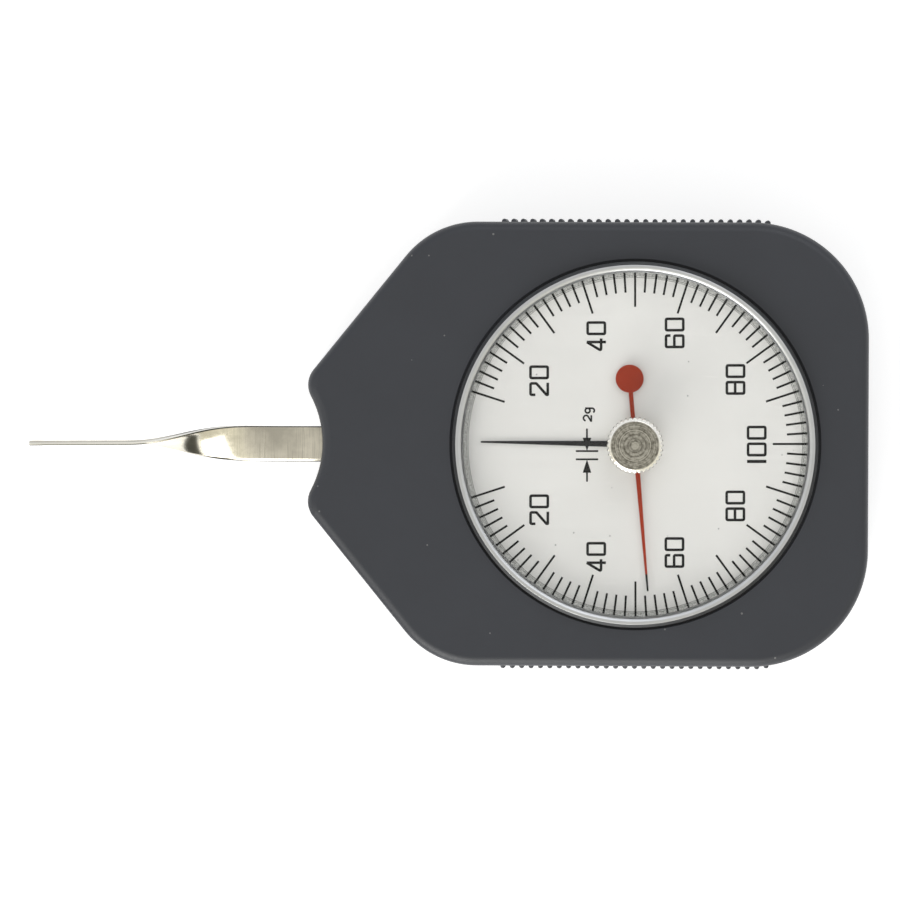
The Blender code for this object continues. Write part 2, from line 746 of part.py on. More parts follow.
def screw_mesh(name, place, head, shank, seat, up, head_height, length):
    """A slotted screw whose head rests on a seat height, with its head towards up, +1 or -1."""
    crown = seat + up * head_height
    tip = seat - up * length
    profile = [
        (0, crown),
        (head * HEAD_CROWN_SHARE, crown),
        (head, crown - up * head_height / 3),
        (head, seat),
        (shank, seat),
        (shank, tip + up * shank / 2),
        (shank / 2, tip),
        (0, tip),
    ]
    if up < 0:
        profile = list(reversed(profile))
    body = turned(name, profile, SCREW_SIDES, place)
    half = head * DRIVE_SLOT_SHARE
    reach = head + OVERRUN
    corners = [
        (place[0] - reach, place[1] - half),
        (place[0] + reach, place[1] - half),
        (place[0] + reach, place[1] + half),
        (place[0] - reach, place[1] + half),
    ]
    floor = crown - up * head_height * DRIVE_DEPTH_SHARE
    beyond = crown + up * OVERRUN
    return cut(name, body, prism("slot", corners, min(floor, beyond), max(floor, beyond)))


def build_case_screws():
    for i, place in enumerate(case_screw_places()):
        mesh = screw_mesh(
            "case_screw",
            place,
            CASE_SCREW_HEAD_RADIUS,
            CASE_SCREW_RADIUS,
            CASE_SCREW_RECESS + CASE_SCREW_HEAD_HEIGHT,
            -1,
            CASE_SCREW_HEAD_HEIGHT,
            CASE_SCREW_LENGTH,
        )
        add(f"case_screw_{i + 1}", mesh, SCREW_STEEL, 0.35, 1.0)


def small_screw(name, place, plate_top, length):
    mesh = screw_mesh(
        name,
        place,
        SMALL_HEAD_RADIUS,
        SMALL_SCREW_RADIUS,
        plate_top + SEAT_GAP,
        1,
        SMALL_HEAD_HEIGHT,
        length,
    )
    add(name, mesh, SCREW_STEEL, 0.3, 1.0)


def drilled(bottom, radius, place):
    top = bottom + PLATE_THICKNESS + 2 * OVERRUN
    return rod("drill", radius, bottom - OVERRUN, top, SCREW_SIDES, place)


def build_plates():
    outline = rounded_hull(pillar_hull(), PLATE_CORNER)
    centre_hole = centre_bore + BUSH_WALL + PRESS_GAP
    lever_hole = lever_bore + BUSH_WALL + PRESS_GAP
    for name, bottom in (
        ("lower_plate", lower_plate_bottom),
        ("upper_plate", upper_plate_bottom),
    ):
        holes = [
            drilled(bottom, centre_hole, (0.0, 0.0)),
            drilled(bottom, lever_hole, (pivot_x, 0.0)),
        ]
        if name == "lower_plate":
            spigot_hole = PILLAR_SPIGOT_RADIUS + PRESS_GAP
            holes += [drilled(bottom, spigot_hole, place) for place in pillar_places()]
            screw_hole = SMALL_SCREW_RADIUS + BOLT_GAP
            holes += [drilled(bottom, screw_hole, place) for place in movement_screw_places()]
            pin_hole = STOP_PIN_RADIUS + PRESS_GAP
            holes += [drilled(bottom, pin_hole, place) for place in stop_pin_places()]
            holes.append(drilled(bottom, STUD_RADIUS + PRESS_GAP, stud_place()))
        else:
            screw_hole = SMALL_SCREW_RADIUS + BOLT_GAP
            holes += [drilled(bottom, screw_hole, place) for place in pillar_places()]
        blank = prism(name, outline, bottom, bottom + PLATE_THICKNESS)
        add(name, cut(name, blank, *holes), BRASS, 0.3, 1.0)


def pillar_hull():
    """The pillars' places, counterclockwise."""
    upper, lower, tail = pillar_places()
    return [tail, upper, lower]


def build_pillars():
    bottom = lower_plate_top + SEAT_GAP
    top = upper_plate_bottom - SEAT_GAP
    bore = SMALL_SCREW_RADIUS + PRESS_GAP
    bore_end = upper_plate_top + SEAT_GAP - SMALL_SCREW_LENGTH - SEAT_GAP
    for i, place in enumerate(pillar_places()):
        profile = [
            (0, lower_plate_bottom),
            (PILLAR_SPIGOT_RADIUS, lower_plate_bottom),
            (PILLAR_SPIGOT_RADIUS, bottom),
            (PILLAR_RADIUS, bottom),
            (PILLAR_RADIUS, top),
            (bore, top),
            (bore, bore_end),
            (0, bore_end),
        ]
        mesh = turned("pillar", profile, SCREW_SIDES, place)
        add(f"pillar_{i + 1}", mesh, BRASS, 0.3, 1.0)
        small_screw(f"pillar_screw_{i + 1}", place, upper_plate_top, SMALL_SCREW_LENGTH)


def build_movement_screws():
    for i, place in enumerate(movement_screw_places()):
        small_screw(f"movement_screw_{i + 1}", place, lower_plate_top, MOVEMENT_SCREW_LENGTH)


def build_bushes():
    for name, x, bore in (("centre", 0.0, centre_bore), ("lever", pivot_x, lever_bore)):
        sleeve = bore + BUSH_WALL
        flange = sleeve + BUSH_FLANGE
        for level, inner, face, out in (
            ("lower", lower_plate_top, lower_plate_bottom, -1),
            ("upper", upper_plate_bottom, upper_plate_top, 1),
        ):
            near = face + out * SEAT_GAP
            far = near + out * BUSH_FLANGE_THICKNESS
            profile = [
                (bore, inner),
                (sleeve, inner),
                (sleeve, near),
                (flange, near),
                (flange, far),
                (bore, far),
            ]
            label = f"{name}_{level}_bush"
            add(label, turned(label, profile, SMALL_SIDES, (x, 0.0)), BRASS, 0.25, 1.0)


def build_stops():
    top = sector_top + STOP_PIN_RISE
    for i, place in enumerate(stop_pin_places()):
        mesh = rod("stop_pin", STOP_PIN_RADIUS, lower_plate_bottom, top, SCREW_SIDES, place)
        add(f"stop_pin_{i + 1}", mesh, STEEL, 0.25, 1.0)


def spring_sections():
    """Cross-sections of the spiral strip from its inner end to its outer end."""
    sections = []
    count = round(SPRING_STEPS_PER_TURN * SPRING_TURNS)
    for i in range(count + 1):
        turns = SPRING_TURNS * i / count
        radius = spring_inner_radius + SPRING_PITCH * turns
        angle = math.tau * turns
        across = Vector((math.cos(angle), math.sin(angle), 0.0))
        inner = across * (radius - SPRING_STRIP / 2)
        outer = across * (radius + SPRING_STRIP / 2)
        low = Vector((0.0, 0.0, collet_bottom))
        high = Vector((0.0, 0.0, collet_top))
        sections.append([inner + low, outer + low, outer + high, inner + high])
    return sections


def least_self_gap(sections):
    """The least gap between the strip's inner side and the outer side one turn further in."""
    least = math.inf
    for i, section in enumerate(sections):
        inner = Vector(section[0])
        for other in sections[: max(0, i - SPRING_STEPS_PER_TURN // 2)]:
            least = min(least, (inner - Vector(other[1])).length)
    return least


def build_return_spring():
    sections = spring_sections()
    print("return_spring least self-gap mm", round(least_self_gap(sections) / MM, 3))
    add("return_spring", loft("return_spring", sections), SPRING_BLUE, 0.3, 1.0)
    stud = rod("stud", STUD_RADIUS, lower_plate_bottom, collet_top, SCREW_SIDES, stud_place())
    add("spring_stud", stud, BRASS, 0.3, 1.0)


def involute(angle):
    return math.tan(angle) - angle


def tooth_half_angles(teeth, tip, root):
    """Radius and half angle of one tooth, from its root to its tip."""
    pitch_radius = gear_module * teeth / 2
    base = pitch_radius * math.cos(PRESSURE_ANGLE)
    at_pitch = math.pi / 2 / teeth - BACKLASH / 2 / pitch_radius
    start = max(root, base)
    radii = [start + (tip - start) * i / FLANK_STEPS for i in range(FLANK_STEPS + 1)]
    if root < base:
        radii.insert(0, root)
    flank = []
    for radius in radii:
        pressure = math.acos(min(1.0, base / max(radius, base)))
        flank.append((radius, at_pitch + involute(PRESSURE_ANGLE) - involute(pressure)))
    return flank


def tooth_points(flank, middle):
    rising = [(radius, middle - half) for radius, half in flank]
    falling = [(radius, middle + half) for radius, half in reversed(flank)]
    points = rising + falling
    return [(radius * math.cos(angle), radius * math.sin(angle)) for radius, angle in points]


def sector_outline():
    flank = tooth_half_angles(SECTOR_TEETH, sector_tip_radius, sector_root_radius)
    step = math.tau / SECTOR_TEETH
    outline = []
    for i in range(SECTOR_TEETH_CUT):
        outline += tooth_points(flank, step * (i - (SECTOR_TEETH_CUT - 1) / 2))
    start = sector_half_angle
    outline.append((sector_root_radius * math.cos(start), sector_root_radius * math.sin(start)))
    outline += arc((0.0, 0.0), SECTOR_HUB_RADIUS, start, math.tau - start, SMALL_SIDES)
    outline.append((sector_root_radius * math.cos(start), -sector_root_radius * math.sin(start)))
    return outline


def pinion_outline():
    flank = tooth_half_angles(PINION_TEETH, pinion_tip_radius, pinion_root_radius)
    step = math.tau / PINION_TEETH
    outline = []
    for i in range(PINION_TEETH):
        outline += tooth_points(flank, math.pi + step * i)
    return outline


def lever_drill(bottom, top):
    radius = LEVER_ARBOR_RADIUS + PRESS_GAP
    return rod("drill", radius, bottom - OVERRUN, top + OVERRUN)


def build_lever():
    """The feeler, its carrier, the arbor and the sector gear, which turn as one."""
    axis = axis_empty("lever_axis", pivot_x)
    shoulder_low = lower_plate_top + ARBOR_END_PLAY
    shoulder_high = upper_plate_bottom - ARBOR_END_PLAY
    foot = lower_plate_bottom - SEAT_GAP - BUSH_FLANGE_THICKNESS
    head = upper_plate_top + SEAT_GAP + BUSH_FLANGE_THICKNESS + LEVER_ARBOR_RISE
    profile = [
        (0, foot),
        (LEVER_PIVOT_RADIUS, foot),
        (LEVER_PIVOT_RADIUS, shoulder_low),
        (LEVER_ARBOR_RADIUS, shoulder_low),
        (LEVER_ARBOR_RADIUS, shoulder_high),
        (LEVER_PIVOT_RADIUS, shoulder_high),
        (LEVER_PIVOT_RADIUS, head),
        (0, head),
    ]
    add("lever_arbor", turned("lever_arbor", profile, SMALL_SIDES), STEEL, 0.2, 1.0, axis)

    blank = prism("sector_gear", sector_outline(), sector_bottom, sector_top)
    half = sector_half_angle * SECTOR_WINDOW_ANGLE_SHARE
    inner = sector_root_radius * SECTOR_WINDOW_INNER_SHARE
    outer = sector_root_radius * SECTOR_WINDOW_OUTER_SHARE
    window = arc((0.0, 0.0), outer, -half, half, SHOULDER_STEPS)
    window += arc((0.0, 0.0), inner, half, -half, SHOULDER_STEPS)
    window_cut = prism("window", window, sector_bottom - OVERRUN, sector_top + OVERRUN)
    gear = cut("sector_gear", blank, lever_drill(sector_bottom, sector_top), window_cut)
    add("sector_gear", gear, BRASS, 0.3, 1.0, axis)
    build_feeler_carrier(axis)
    build_feeler_blade(axis)
    build_feeler_rivets(axis)


def rivet_places():
    first = feeler_root_x - RIVET_EDGE
    last = -CARRIER_LENGTH + RIVET_EDGE - RIVET_RADIUS
    return [(first, 0.0), (last, 0.0)]


def build_feeler_carrier(axis):
    half = FEELER_WIDTH / 2
    meet = math.asin(half / CARRIER_HUB_RADIUS)
    outline = arc((0.0, 0.0), CARRIER_HUB_RADIUS, meet - math.pi, math.pi - meet, SMALL_SIDES)
    end_centre = (-CARRIER_LENGTH + half, 0.0)
    outline += arc(end_centre, half, math.pi / 2, 3 * math.pi / 2, CORNER_STEPS)
    blank = prism("feeler_carrier", outline, carrier_bottom, carrier_top)
    holes = [lever_drill(carrier_bottom, carrier_top)]
    for place in rivet_places():
        low = carrier_bottom - OVERRUN
        high = carrier_top + OVERRUN
        holes.append(rod("drill", RIVET_RADIUS + PRESS_GAP, low, high, SCREW_SIDES, place))
    add("feeler_carrier", cut("feeler_carrier", blank, *holes), STEEL, 0.3, 1.0, axis)


def feeler_middle(x):
    """The middle of the blade at x, with the slight bow past its flat part."""
    share = max(0.0, (feeler_flat_end - x) / (feeler_flat_end - feeler_tip_x))
    return Vector((x, FEELER_SIDE_OFFSET + FEELER_BEND * math.sin(math.pi * share), feeler_plane))


def feeler_section(x, turn, thickness):
    """A cross-section of the blade at x, turned about the blade's own length."""
    across = Vector((0.0, math.cos(turn), math.sin(turn)))
    through = Vector((0.0, -math.sin(turn), math.cos(turn)))
    middle = feeler_middle(x)
    half_width = across * FEELER_WIDTH / 2
    half_thickness = through * thickness / 2
    return [
        middle - half_width - half_thickness,
        middle + half_width - half_thickness,
        middle + half_width + half_thickness,
        middle - half_width + half_thickness,
    ]


def build_feeler_blade(axis):
    sections = [feeler_section(feeler_root_x, 0.0, FEELER_THICKNESS)]
    for i in range(FEELER_TWIST_STEPS + 1):
        part = i / FEELER_TWIST_STEPS
        x = feeler_flat_end - FEELER_TWIST_LENGTH * part
        turn = math.pi / 4 * (1 - math.cos(math.pi * part))
        sections.append(feeler_section(x, turn, FEELER_THICKNESS))
    pad_start = feeler_tip_x + FEELER_TIP_LENGTH
    sections.append(feeler_section(pad_start, math.pi / 2, FEELER_THICKNESS))
    step_x = pad_start - FEELER_TIP_THICKNESS
    sections.append(feeler_section(step_x, math.pi / 2, FEELER_TIP_THICKNESS))
    sections.append(feeler_section(feeler_tip_x, math.pi / 2, FEELER_TIP_THICKNESS))
    blade = loft("feeler_blade", sections)
    low = feeler_plane - FEELER_THICKNESS - OVERRUN
    high = feeler_plane + FEELER_THICKNESS + OVERRUN
    holes = [
        rod("drill", RIVET_RADIUS + PRESS_GAP, low, high, SCREW_SIDES, place)
        for place in rivet_places()
    ]
    add("feeler_blade", cut("feeler_blade", blade, *holes), STEEL, 0.18, 1.0, axis)


def build_feeler_rivets(axis):
    blade_top = feeler_plane + FEELER_THICKNESS / 2 + RUN_GAP
    blade_low = carrier_bottom - RUN_GAP
    for i, place in enumerate(rivet_places()):
        profile = [
            (0, blade_low - RIVET_HEAD_HEIGHT),
            (RIVET_HEAD_RADIUS, blade_low - RIVET_HEAD_HEIGHT),
            (RIVET_HEAD_RADIUS, blade_low),
            (RIVET_RADIUS, blade_low),
            (RIVET_RADIUS, blade_top),
            (RIVET_HEAD_RADIUS, blade_top),
            (RIVET_HEAD_RADIUS, blade_top + RIVET_HEAD_HEIGHT / 2),
            (RIVET_HEAD_RADIUS / 2, blade_top + RIVET_HEAD_HEIGHT),
            (0, blade_top + RIVET_HEAD_HEIGHT),
        ]
        mesh = turned("feeler_rivet", profile, SCREW_SIDES, place)
        add(f"feeler_rivet_{i + 1}", mesh, STEEL, 0.25, 1.0, axis)


def turn_outline(outline, angle):
    cosine = math.cos(angle)
    sine = math.sin(angle)
    return [(x * cosine - y * sine, x * sine + y * cosine) for x, y in outline]


def main_pointer_outline():
    """The needle along +X with its eye and a short tail."""
    eye = hub_radius + POINTER_EYE_WALL
    root = math.asin(MAIN_POINTER_ROOT_WIDTH / 2 / eye)
    tail = math.asin(MAIN_POINTER_TAIL_WIDTH / 2 / eye)
    outline = [(MAIN_POINTER_LENGTH, -MAIN_POINTER_TIP_WIDTH / 2)]
    outline.append((MAIN_POINTER_LENGTH, MAIN_POINTER_TIP_WIDTH / 2))
    outline += arc((0.0, 0.0), eye, root, math.pi - tail, CORNER_STEPS)
    outline.append((-MAIN_POINTER_TAIL, MAIN_POINTER_TAIL_WIDTH / 2))
    outline.append((-MAIN_POINTER_TAIL, -MAIN_POINTER_TAIL_WIDTH / 2))
    outline += arc((0.0, 0.0), eye, math.pi + tail, math.tau - root, CORNER_STEPS)
    return outline


def drag_pointer_outline():
    """The needle along +X with its eye, its stem and the round disc at its tail."""
    eye = drag_boss_radius + POINTER_EYE_WALL
    root = math.asin(DRAG_POINTER_ROOT_WIDTH / 2 / eye)
    stem = math.asin(DRAG_STEM_WIDTH / 2 / eye)
    disc = math.asin(DRAG_STEM_WIDTH / 2 / DRAG_DISC_RADIUS)
    outline = [(DRAG_POINTER_LENGTH, -DRAG_POINTER_TIP_WIDTH / 2)]
    outline.append((DRAG_POINTER_LENGTH, DRAG_POINTER_TIP_WIDTH / 2))
    outline += arc((0.0, 0.0), eye, root, math.pi - stem, CORNER_STEPS)
    disc_centre = (-DRAG_DISC_DISTANCE, 0.0)
    outline += arc(disc_centre, DRAG_DISC_RADIUS, disc, math.tau - disc, 3 * CORNER_STEPS)
    outline += arc((0.0, 0.0), eye, math.pi + stem, math.tau - root, CORNER_STEPS)
    return outline


def build_pointer_train():
    """The centre arbor with the pinion, the spring's collet and the main pointer."""
    axis = axis_empty("pointer_axis", 0.0)
    foot = lower_plate_bottom - SEAT_GAP - BUSH_FLANGE_THICKNESS
    arbor = rod("centre_arbor", CENTRE_ARBOR_RADIUS, foot, hub_top)
    add("centre_arbor", arbor, STEEL, 0.2, 1.0, axis)

    bore = CENTRE_ARBOR_RADIUS + PRESS_GAP
    blank = prism("drive_pinion", pinion_outline(), pinion_bottom, pinion_top)
    drill = rod("drill", bore, pinion_bottom - OVERRUN, pinion_top + OVERRUN)
    add("drive_pinion", cut("drive_pinion", blank, drill), STEEL, 0.25, 1.0, axis)

    collet = tube("spring_collet", bore, collet_radius, collet_bottom, collet_top, SMALL_SIDES)
    add("spring_collet", collet, BRASS, 0.3, 1.0, axis)

    flange_low = main_pointer_top + RUN_GAP
    profile = [
        (bore, hub_bottom),
        (hub_radius, hub_bottom),
        (hub_radius, flange_low),
        (hub_radius + HUB_FLANGE, flange_low),
        (hub_radius + HUB_FLANGE, hub_top),
        (bore, hub_top),
    ]
    add("pointer_hub", turned("pointer_hub", profile, SMALL_SIDES), BRASS, 0.3, 1.0, axis)

    outline = turn_outline(main_pointer_outline(), MAIN_POINTER_REST)
    blank = prism("main_pointer", outline, main_pointer_bottom, main_pointer_top)
    low = main_pointer_bottom - OVERRUN
    high = main_pointer_top + OVERRUN
    eye_hole = rod("drill", hub_radius + PRESS_GAP, low, high)
    tail = math.pi + MAIN_POINTER_REST
    pin_place = (CARRIER_PIN_REACH * math.cos(tail), CARRIER_PIN_REACH * math.sin(tail))
    pin_hole = rod("drill", CARRIER_PIN_RADIUS + PRESS_GAP, low, high, SCREW_SIDES, pin_place)
    add("main_pointer", cut("main_pointer", blank, eye_hole, pin_hole), BLACK, 0.4, 0.2, axis)

    pin_top = drag_pointer_bottom - SEAT_GAP
    pin = rod(
        "carrier_pin", CARRIER_PIN_RADIUS, main_pointer_bottom, pin_top, SCREW_SIDES, pin_place
    )
    add("carrier_pin", pin, STEEL, 0.25, 1.0, axis)


def build_bezel_group():
    """The bezel with its clip and all that it holds, which turn as one."""
    axis = axis_empty("bezel_axis", 0.0)
    flange_bottom = bezel_seat + SEAT_GAP
    groove_top = clip_top + RUN_GAP
    groove_bottom = clip_top - CLIP_THICKNESS - RUN_GAP
    groove_radius = skirt_outer - CLIP_GROOVE_DEPTH
    profile = [
        (skirt_inner, skirt_bottom),
        (skirt_outer, skirt_bottom),
        (skirt_outer, groove_bottom),
        (groove_radius, groove_bottom),
        (groove_radius, groove_top),
        (skirt_outer, groove_top),
        (skirt_outer, flange_bottom),
        (bezel_radius, flange_bottom),
        (bezel_radius, bezel_top - RIM_SHOULDER),
        (rim_outer, bezel_top),
        (rim_inner + RIM_WIDTH / 6, bezel_top),
        (rim_inner, bezel_top - RIM_WIDTH / 6),
        (LIP_RADIUS, bezel_top - LIP_SLOPE_DROP),
        (LIP_RADIUS, lip_under),
        (skirt_inner, lip_under),
    ]
    add("bezel", turned("bezel", profile), STEEL, 0.2, 1.0, axis)

    clip_inner = groove_radius + RUN_GAP
    clip_outer = ledge_radius + CLIP_OVERLAP
    clip = open_ring(
        "bezel_clip", clip_inner, clip_outer, clip_top - CLIP_THICKNESS, clip_top, CLIP_OPENING
    )
    add("bezel_clip", clip, SPRING_BLUE, 0.3, 1.0, axis)

    plateau = LIP_RADIUS - SEAT_GAP / 2
    chamfer_z = crystal_top - CRYSTAL_CHAMFER_DROP
    profile = [
        (crystal_hole_radius, crystal_under),
        (held_radius, crystal_under),
        (held_radius, crystal_under + CRYSTAL_FLANGE),
        (plateau, crystal_under + CRYSTAL_FLANGE),
        (plateau, chamfer_z),
        (plateau - CRYSTAL_CHAMFER, crystal_top),
        (crystal_hole_radius, crystal_top),
    ]
    add("crystal", turned("crystal", profile), CLEAR, 0.05, 0.0, axis, 0.25)

    spacer = tube("spacer_ring", LIP_RADIUS, held_radius, spacer_bottom, spacer_top)
    add("spacer_ring", spacer, STEEL, 0.4, 1.0, axis)
    dial = tube("dial_plate", DIAL_HOLE_RADIUS, held_radius, dial_under, dial_top)
    add("dial_plate", dial, DIAL_SILVER, 0.35, 0.6, axis)
    retainer = open_ring(
        "dial_retainer",
        held_radius - RETAINER_WIDTH,
        held_radius,
        retainer_top - RETAINER_THICKNESS,
        retainer_top,
        RETAINER_OPENING,
    )
    add("dial_retainer", retainer, SPRING_BLUE, 0.3, 1.0, axis)

    profile = [
        (crystal_bush_bore, bush_flange_bottom),
        (crystal_bush_radius + CRYSTAL_BUSH_FLANGE, bush_flange_bottom),
        (crystal_bush_radius + CRYSTAL_BUSH_FLANGE, bush_flange_top),
        (crystal_bush_radius, bush_flange_top),
        (crystal_bush_radius, bush_top),
        (crystal_bush_bore, bush_top),
    ]
    add("crystal_bush", turned("crystal_bush", profile, SMALL_SIDES), BRASS, 0.25, 1.0, axis)
    return axis


def knob_ring(radius, height, depth):
    """A ring of the knob's outline, with a flute between each two crests."""
    ring = []
    for i in range(2 * KNOB_FLUTES):
        angle = math.pi * i / KNOB_FLUTES
        reach = radius - depth * (i % 2)
        ring.append((reach * math.cos(angle), reach * math.sin(angle), height))
    return ring


def build_drag_group(bezel_axis):
    """The knob, its arbor and the drag pointer, which turn in the crystal's bush."""
    axis = axis_empty("drag_axis", 0.0, bezel_axis)
    arbor_top = knob_bottom + DRAG_ARBOR_GRIP
    arbor = rod("drag_arbor", DRAG_ARBOR_RADIUS, drag_boss_bottom, arbor_top)
    add("drag_arbor", arbor, STEEL, 0.2, 1.0, axis)

    bore = DRAG_ARBOR_RADIUS + PRESS_GAP
    rings = [
        knob_ring(KNOB_RADIUS - KNOB_CHAMFER, knob_bottom, 0.0),
        knob_ring(KNOB_RADIUS, knob_bottom + KNOB_CHAMFER, KNOB_FLUTE_DEPTH),
        knob_ring(KNOB_RADIUS, knob_top - KNOB_CHAMFER, KNOB_FLUTE_DEPTH),
        knob_ring(KNOB_TOP_RADIUS, knob_top, 0.0),
    ]
    blank = loft("drag_knob", rings)
    socket = rod("drill", bore, knob_bottom - OVERRUN, arbor_top + SEAT_GAP)
    add("drag_knob", cut("drag_knob", blank, socket), STEEL, 0.35, 1.0, axis)

    washer = tube("friction_washer", bore, WASHER_RADIUS, washer_bottom, washer_top, SMALL_SIDES)
    add("friction_washer", washer, SPRING_BLUE, 0.3, 1.0, axis)

    flange_low = drag_pointer_top + RUN_GAP
    profile = [
        (bore, drag_boss_bottom),
        (drag_boss_radius, drag_boss_bottom),
        (drag_boss_radius, flange_low),
        (drag_boss_radius + HUB_FLANGE, flange_low),
        (drag_boss_radius + HUB_FLANGE, drag_boss_top),
        (bore, drag_boss_top),
    ]
    add("drag_boss", turned("drag_boss", profile, SMALL_SIDES), BRASS, 0.3, 1.0, axis)

    outline = turn_outline(drag_pointer_outline(), DRAG_POINTER_REST)
    blank = prism("drag_pointer", outline, drag_pointer_bottom, drag_pointer_top)
    low = drag_pointer_bottom - OVERRUN
    eye_hole = rod("drill", drag_boss_radius + PRESS_GAP, low, drag_pointer_top + OVERRUN)
    add("drag_pointer", cut("drag_pointer", blank, eye_hole), RED, 0.45, 0.0, axis)


def main():
    clear_scene()
    build_front_case()
    build_rear_cover()
    build_case_screws()
    build_plates()
    build_pillars()
    build_movement_screws()
    build_bushes()
    build_stops()
    build_return_spring()
    build_lever()
    build_pointer_train()
    bezel_axis = build_bezel_group()
    build_drag_group(bezel_axis)


main()
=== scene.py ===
import json
from math import asin, atan2, cos, pi, radians, sin, sqrt, tan, tau

import bmesh
import bpy
from mathutils import Matrix, Vector

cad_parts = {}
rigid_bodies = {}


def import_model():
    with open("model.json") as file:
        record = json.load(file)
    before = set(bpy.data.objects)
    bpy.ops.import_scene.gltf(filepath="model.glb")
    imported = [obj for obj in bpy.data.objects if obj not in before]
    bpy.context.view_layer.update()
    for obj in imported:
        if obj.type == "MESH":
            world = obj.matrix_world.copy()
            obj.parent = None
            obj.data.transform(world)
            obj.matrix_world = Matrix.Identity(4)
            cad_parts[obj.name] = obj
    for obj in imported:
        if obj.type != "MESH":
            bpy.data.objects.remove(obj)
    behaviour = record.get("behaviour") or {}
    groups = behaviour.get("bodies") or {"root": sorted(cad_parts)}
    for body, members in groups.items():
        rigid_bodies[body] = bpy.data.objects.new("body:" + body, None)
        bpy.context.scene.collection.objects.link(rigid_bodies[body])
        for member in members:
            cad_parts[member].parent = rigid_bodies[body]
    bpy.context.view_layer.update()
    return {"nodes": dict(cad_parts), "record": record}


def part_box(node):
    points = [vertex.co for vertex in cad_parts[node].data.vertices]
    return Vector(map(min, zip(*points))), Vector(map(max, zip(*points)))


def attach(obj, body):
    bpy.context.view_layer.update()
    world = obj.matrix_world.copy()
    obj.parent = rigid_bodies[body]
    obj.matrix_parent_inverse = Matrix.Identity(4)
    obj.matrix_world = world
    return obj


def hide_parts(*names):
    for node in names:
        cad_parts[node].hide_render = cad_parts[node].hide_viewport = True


MM = 0.001
ORIGIN = (0.0, 0.0)
WHITE = (1.0, 1.0, 1.0)
SHARP_ANGLE = radians(32.0)

# Camera, fitted to the outline of the case and the dial
CAMERA_PLACE = Vector((5.51, 25.0, 1000.0)) * MM
CAMERA_TARGET = Vector((-25.9, -0.93, 14.3)) * MM
CAMERA_ROLL = 0.0034
SENSOR_WIDTH = 36.0
LENS_TO_SENSOR = 7.839

# Case
CASE_THICKNESS = 17.0 * MM
CASE_HALF_WIDTH = 31.0 * MM
CASE_RIGHT = 32.5 * MM
CASE_WALL = 2.0 * MM
FRONT_PLATE = 2.0 * MM
REAR_FLOOR = 1.8 * MM
CORNER_RADIUS = 16.3 * MM
SHOULDER_RADIUS = 12.9 * MM
NOSE_RADIUS = 3.4 * MM
NECK_RADIUS = 14.0 * MM
NECK_X = -43.7 * MM
NOSE_ANGLE = radians(51.07)
NOSE_WALL = 0.8 * MM
SLOT_HALF_WIDTH = 7.596 * MM
SLOT_HEIGHT = 2.0 * MM
FRONT_FILLET = 1.35 * MM
REAR_FILLET = 0.9 * MM
PARTING_GAP = 0.25 * MM
TONGUE_HEIGHT = 0.95 * MM
TONGUE_THICKNESS = 0.9 * MM
BORE_RADIUS = 25.85 * MM
BORE_CHAMFER = 0.06 * MM
LEDGE_RADIUS = 25.1 * MM
BEZEL_SEAT = 15.9 * MM
OVERRUN = 1.0 * MM
SEAT_GAP = 0.25 * MM

# Screws and their places in the case
SCREW_INSET = 4.4 * MM
SHOULDER_SCREW_SHARE = 0.75
SCREW_RADIUS = 1.25 * MM
SCREW_HEAD_RADIUS = 2.2 * MM
SCREW_HEAD_HEIGHT = 1.4 * MM
SCREW_RECESS = 0.55 * MM
SCREW_LENGTH = 10.5 * MM
SCREW_SEAT = SCREW_RECESS + SCREW_HEAD_HEIGHT
SCREW_SLOT_TURNS = (25.0, 72.0, 119.0, 166.0)
PILOT_PLAY = 0.06 * MM
SCREW_PLAY = 0.15 * MM
HEAD_BORE_LEAD = 0.2 * MM
REAR_BOSS_WALL = 0.75 * MM
FRONT_BOSS_WALL = 1.4 * MM
POST_RADIUS = 2.6 * MM
POST_HEIGHT = 1.15 * MM
POST_HOLE = 0.76 * MM

# Grip ribs
RIB_COUNT = 29
RIB_PITCH = 1.314 * MM
RIB_WIDTH = 0.74 * MM
RIB_HEIGHT = 0.45 * MM
RIB_ROOT = 0.3 * MM
RIB_END_LAND = 1.1 * MM
RIB_END_SLOPE = 0.9

# Bezel, spacer, crystal and what turns in it
LIP_RADIUS = 24.0 * MM
LIP_SLOPE_WIDTH = 0.5 * MM
LIP_SLOPE_DROP = 0.65 * MM
LIP_THICKNESS = 1.05 * MM
RIM_WIDTH = 0.54 * MM
RIM_SHOULDER = 0.46 * MM
SKIRT_INNER = 24.45 * MM
SKIRT_OUTER = 25.0 * MM
CLIP_GROOVE_DEPTH = 0.25 * MM
CLIP_PLAY = 0.05 * MM
HELD_RADIUS = 24.39 * MM
DIAL_HOLE = 1.6 * MM
CRYSTAL_HOLE = 1.91 * MM
CRYSTAL_CHAMFER = 0.6 * MM
CRYSTAL_CHAMFER_DROP = 0.45 * MM
CRYSTAL_FLANGE = 0.6 * MM
FROST_AND_SHADE_RADIUS = 23.32 * MM
BUSH_PLAY = 0.06 * MM
BUSH_FLANGE = 0.4 * MM
BUSH_BORE = 0.95 * MM
ARBOR_BORE = 0.96 * MM
HUB_LIP = 0.2 * MM

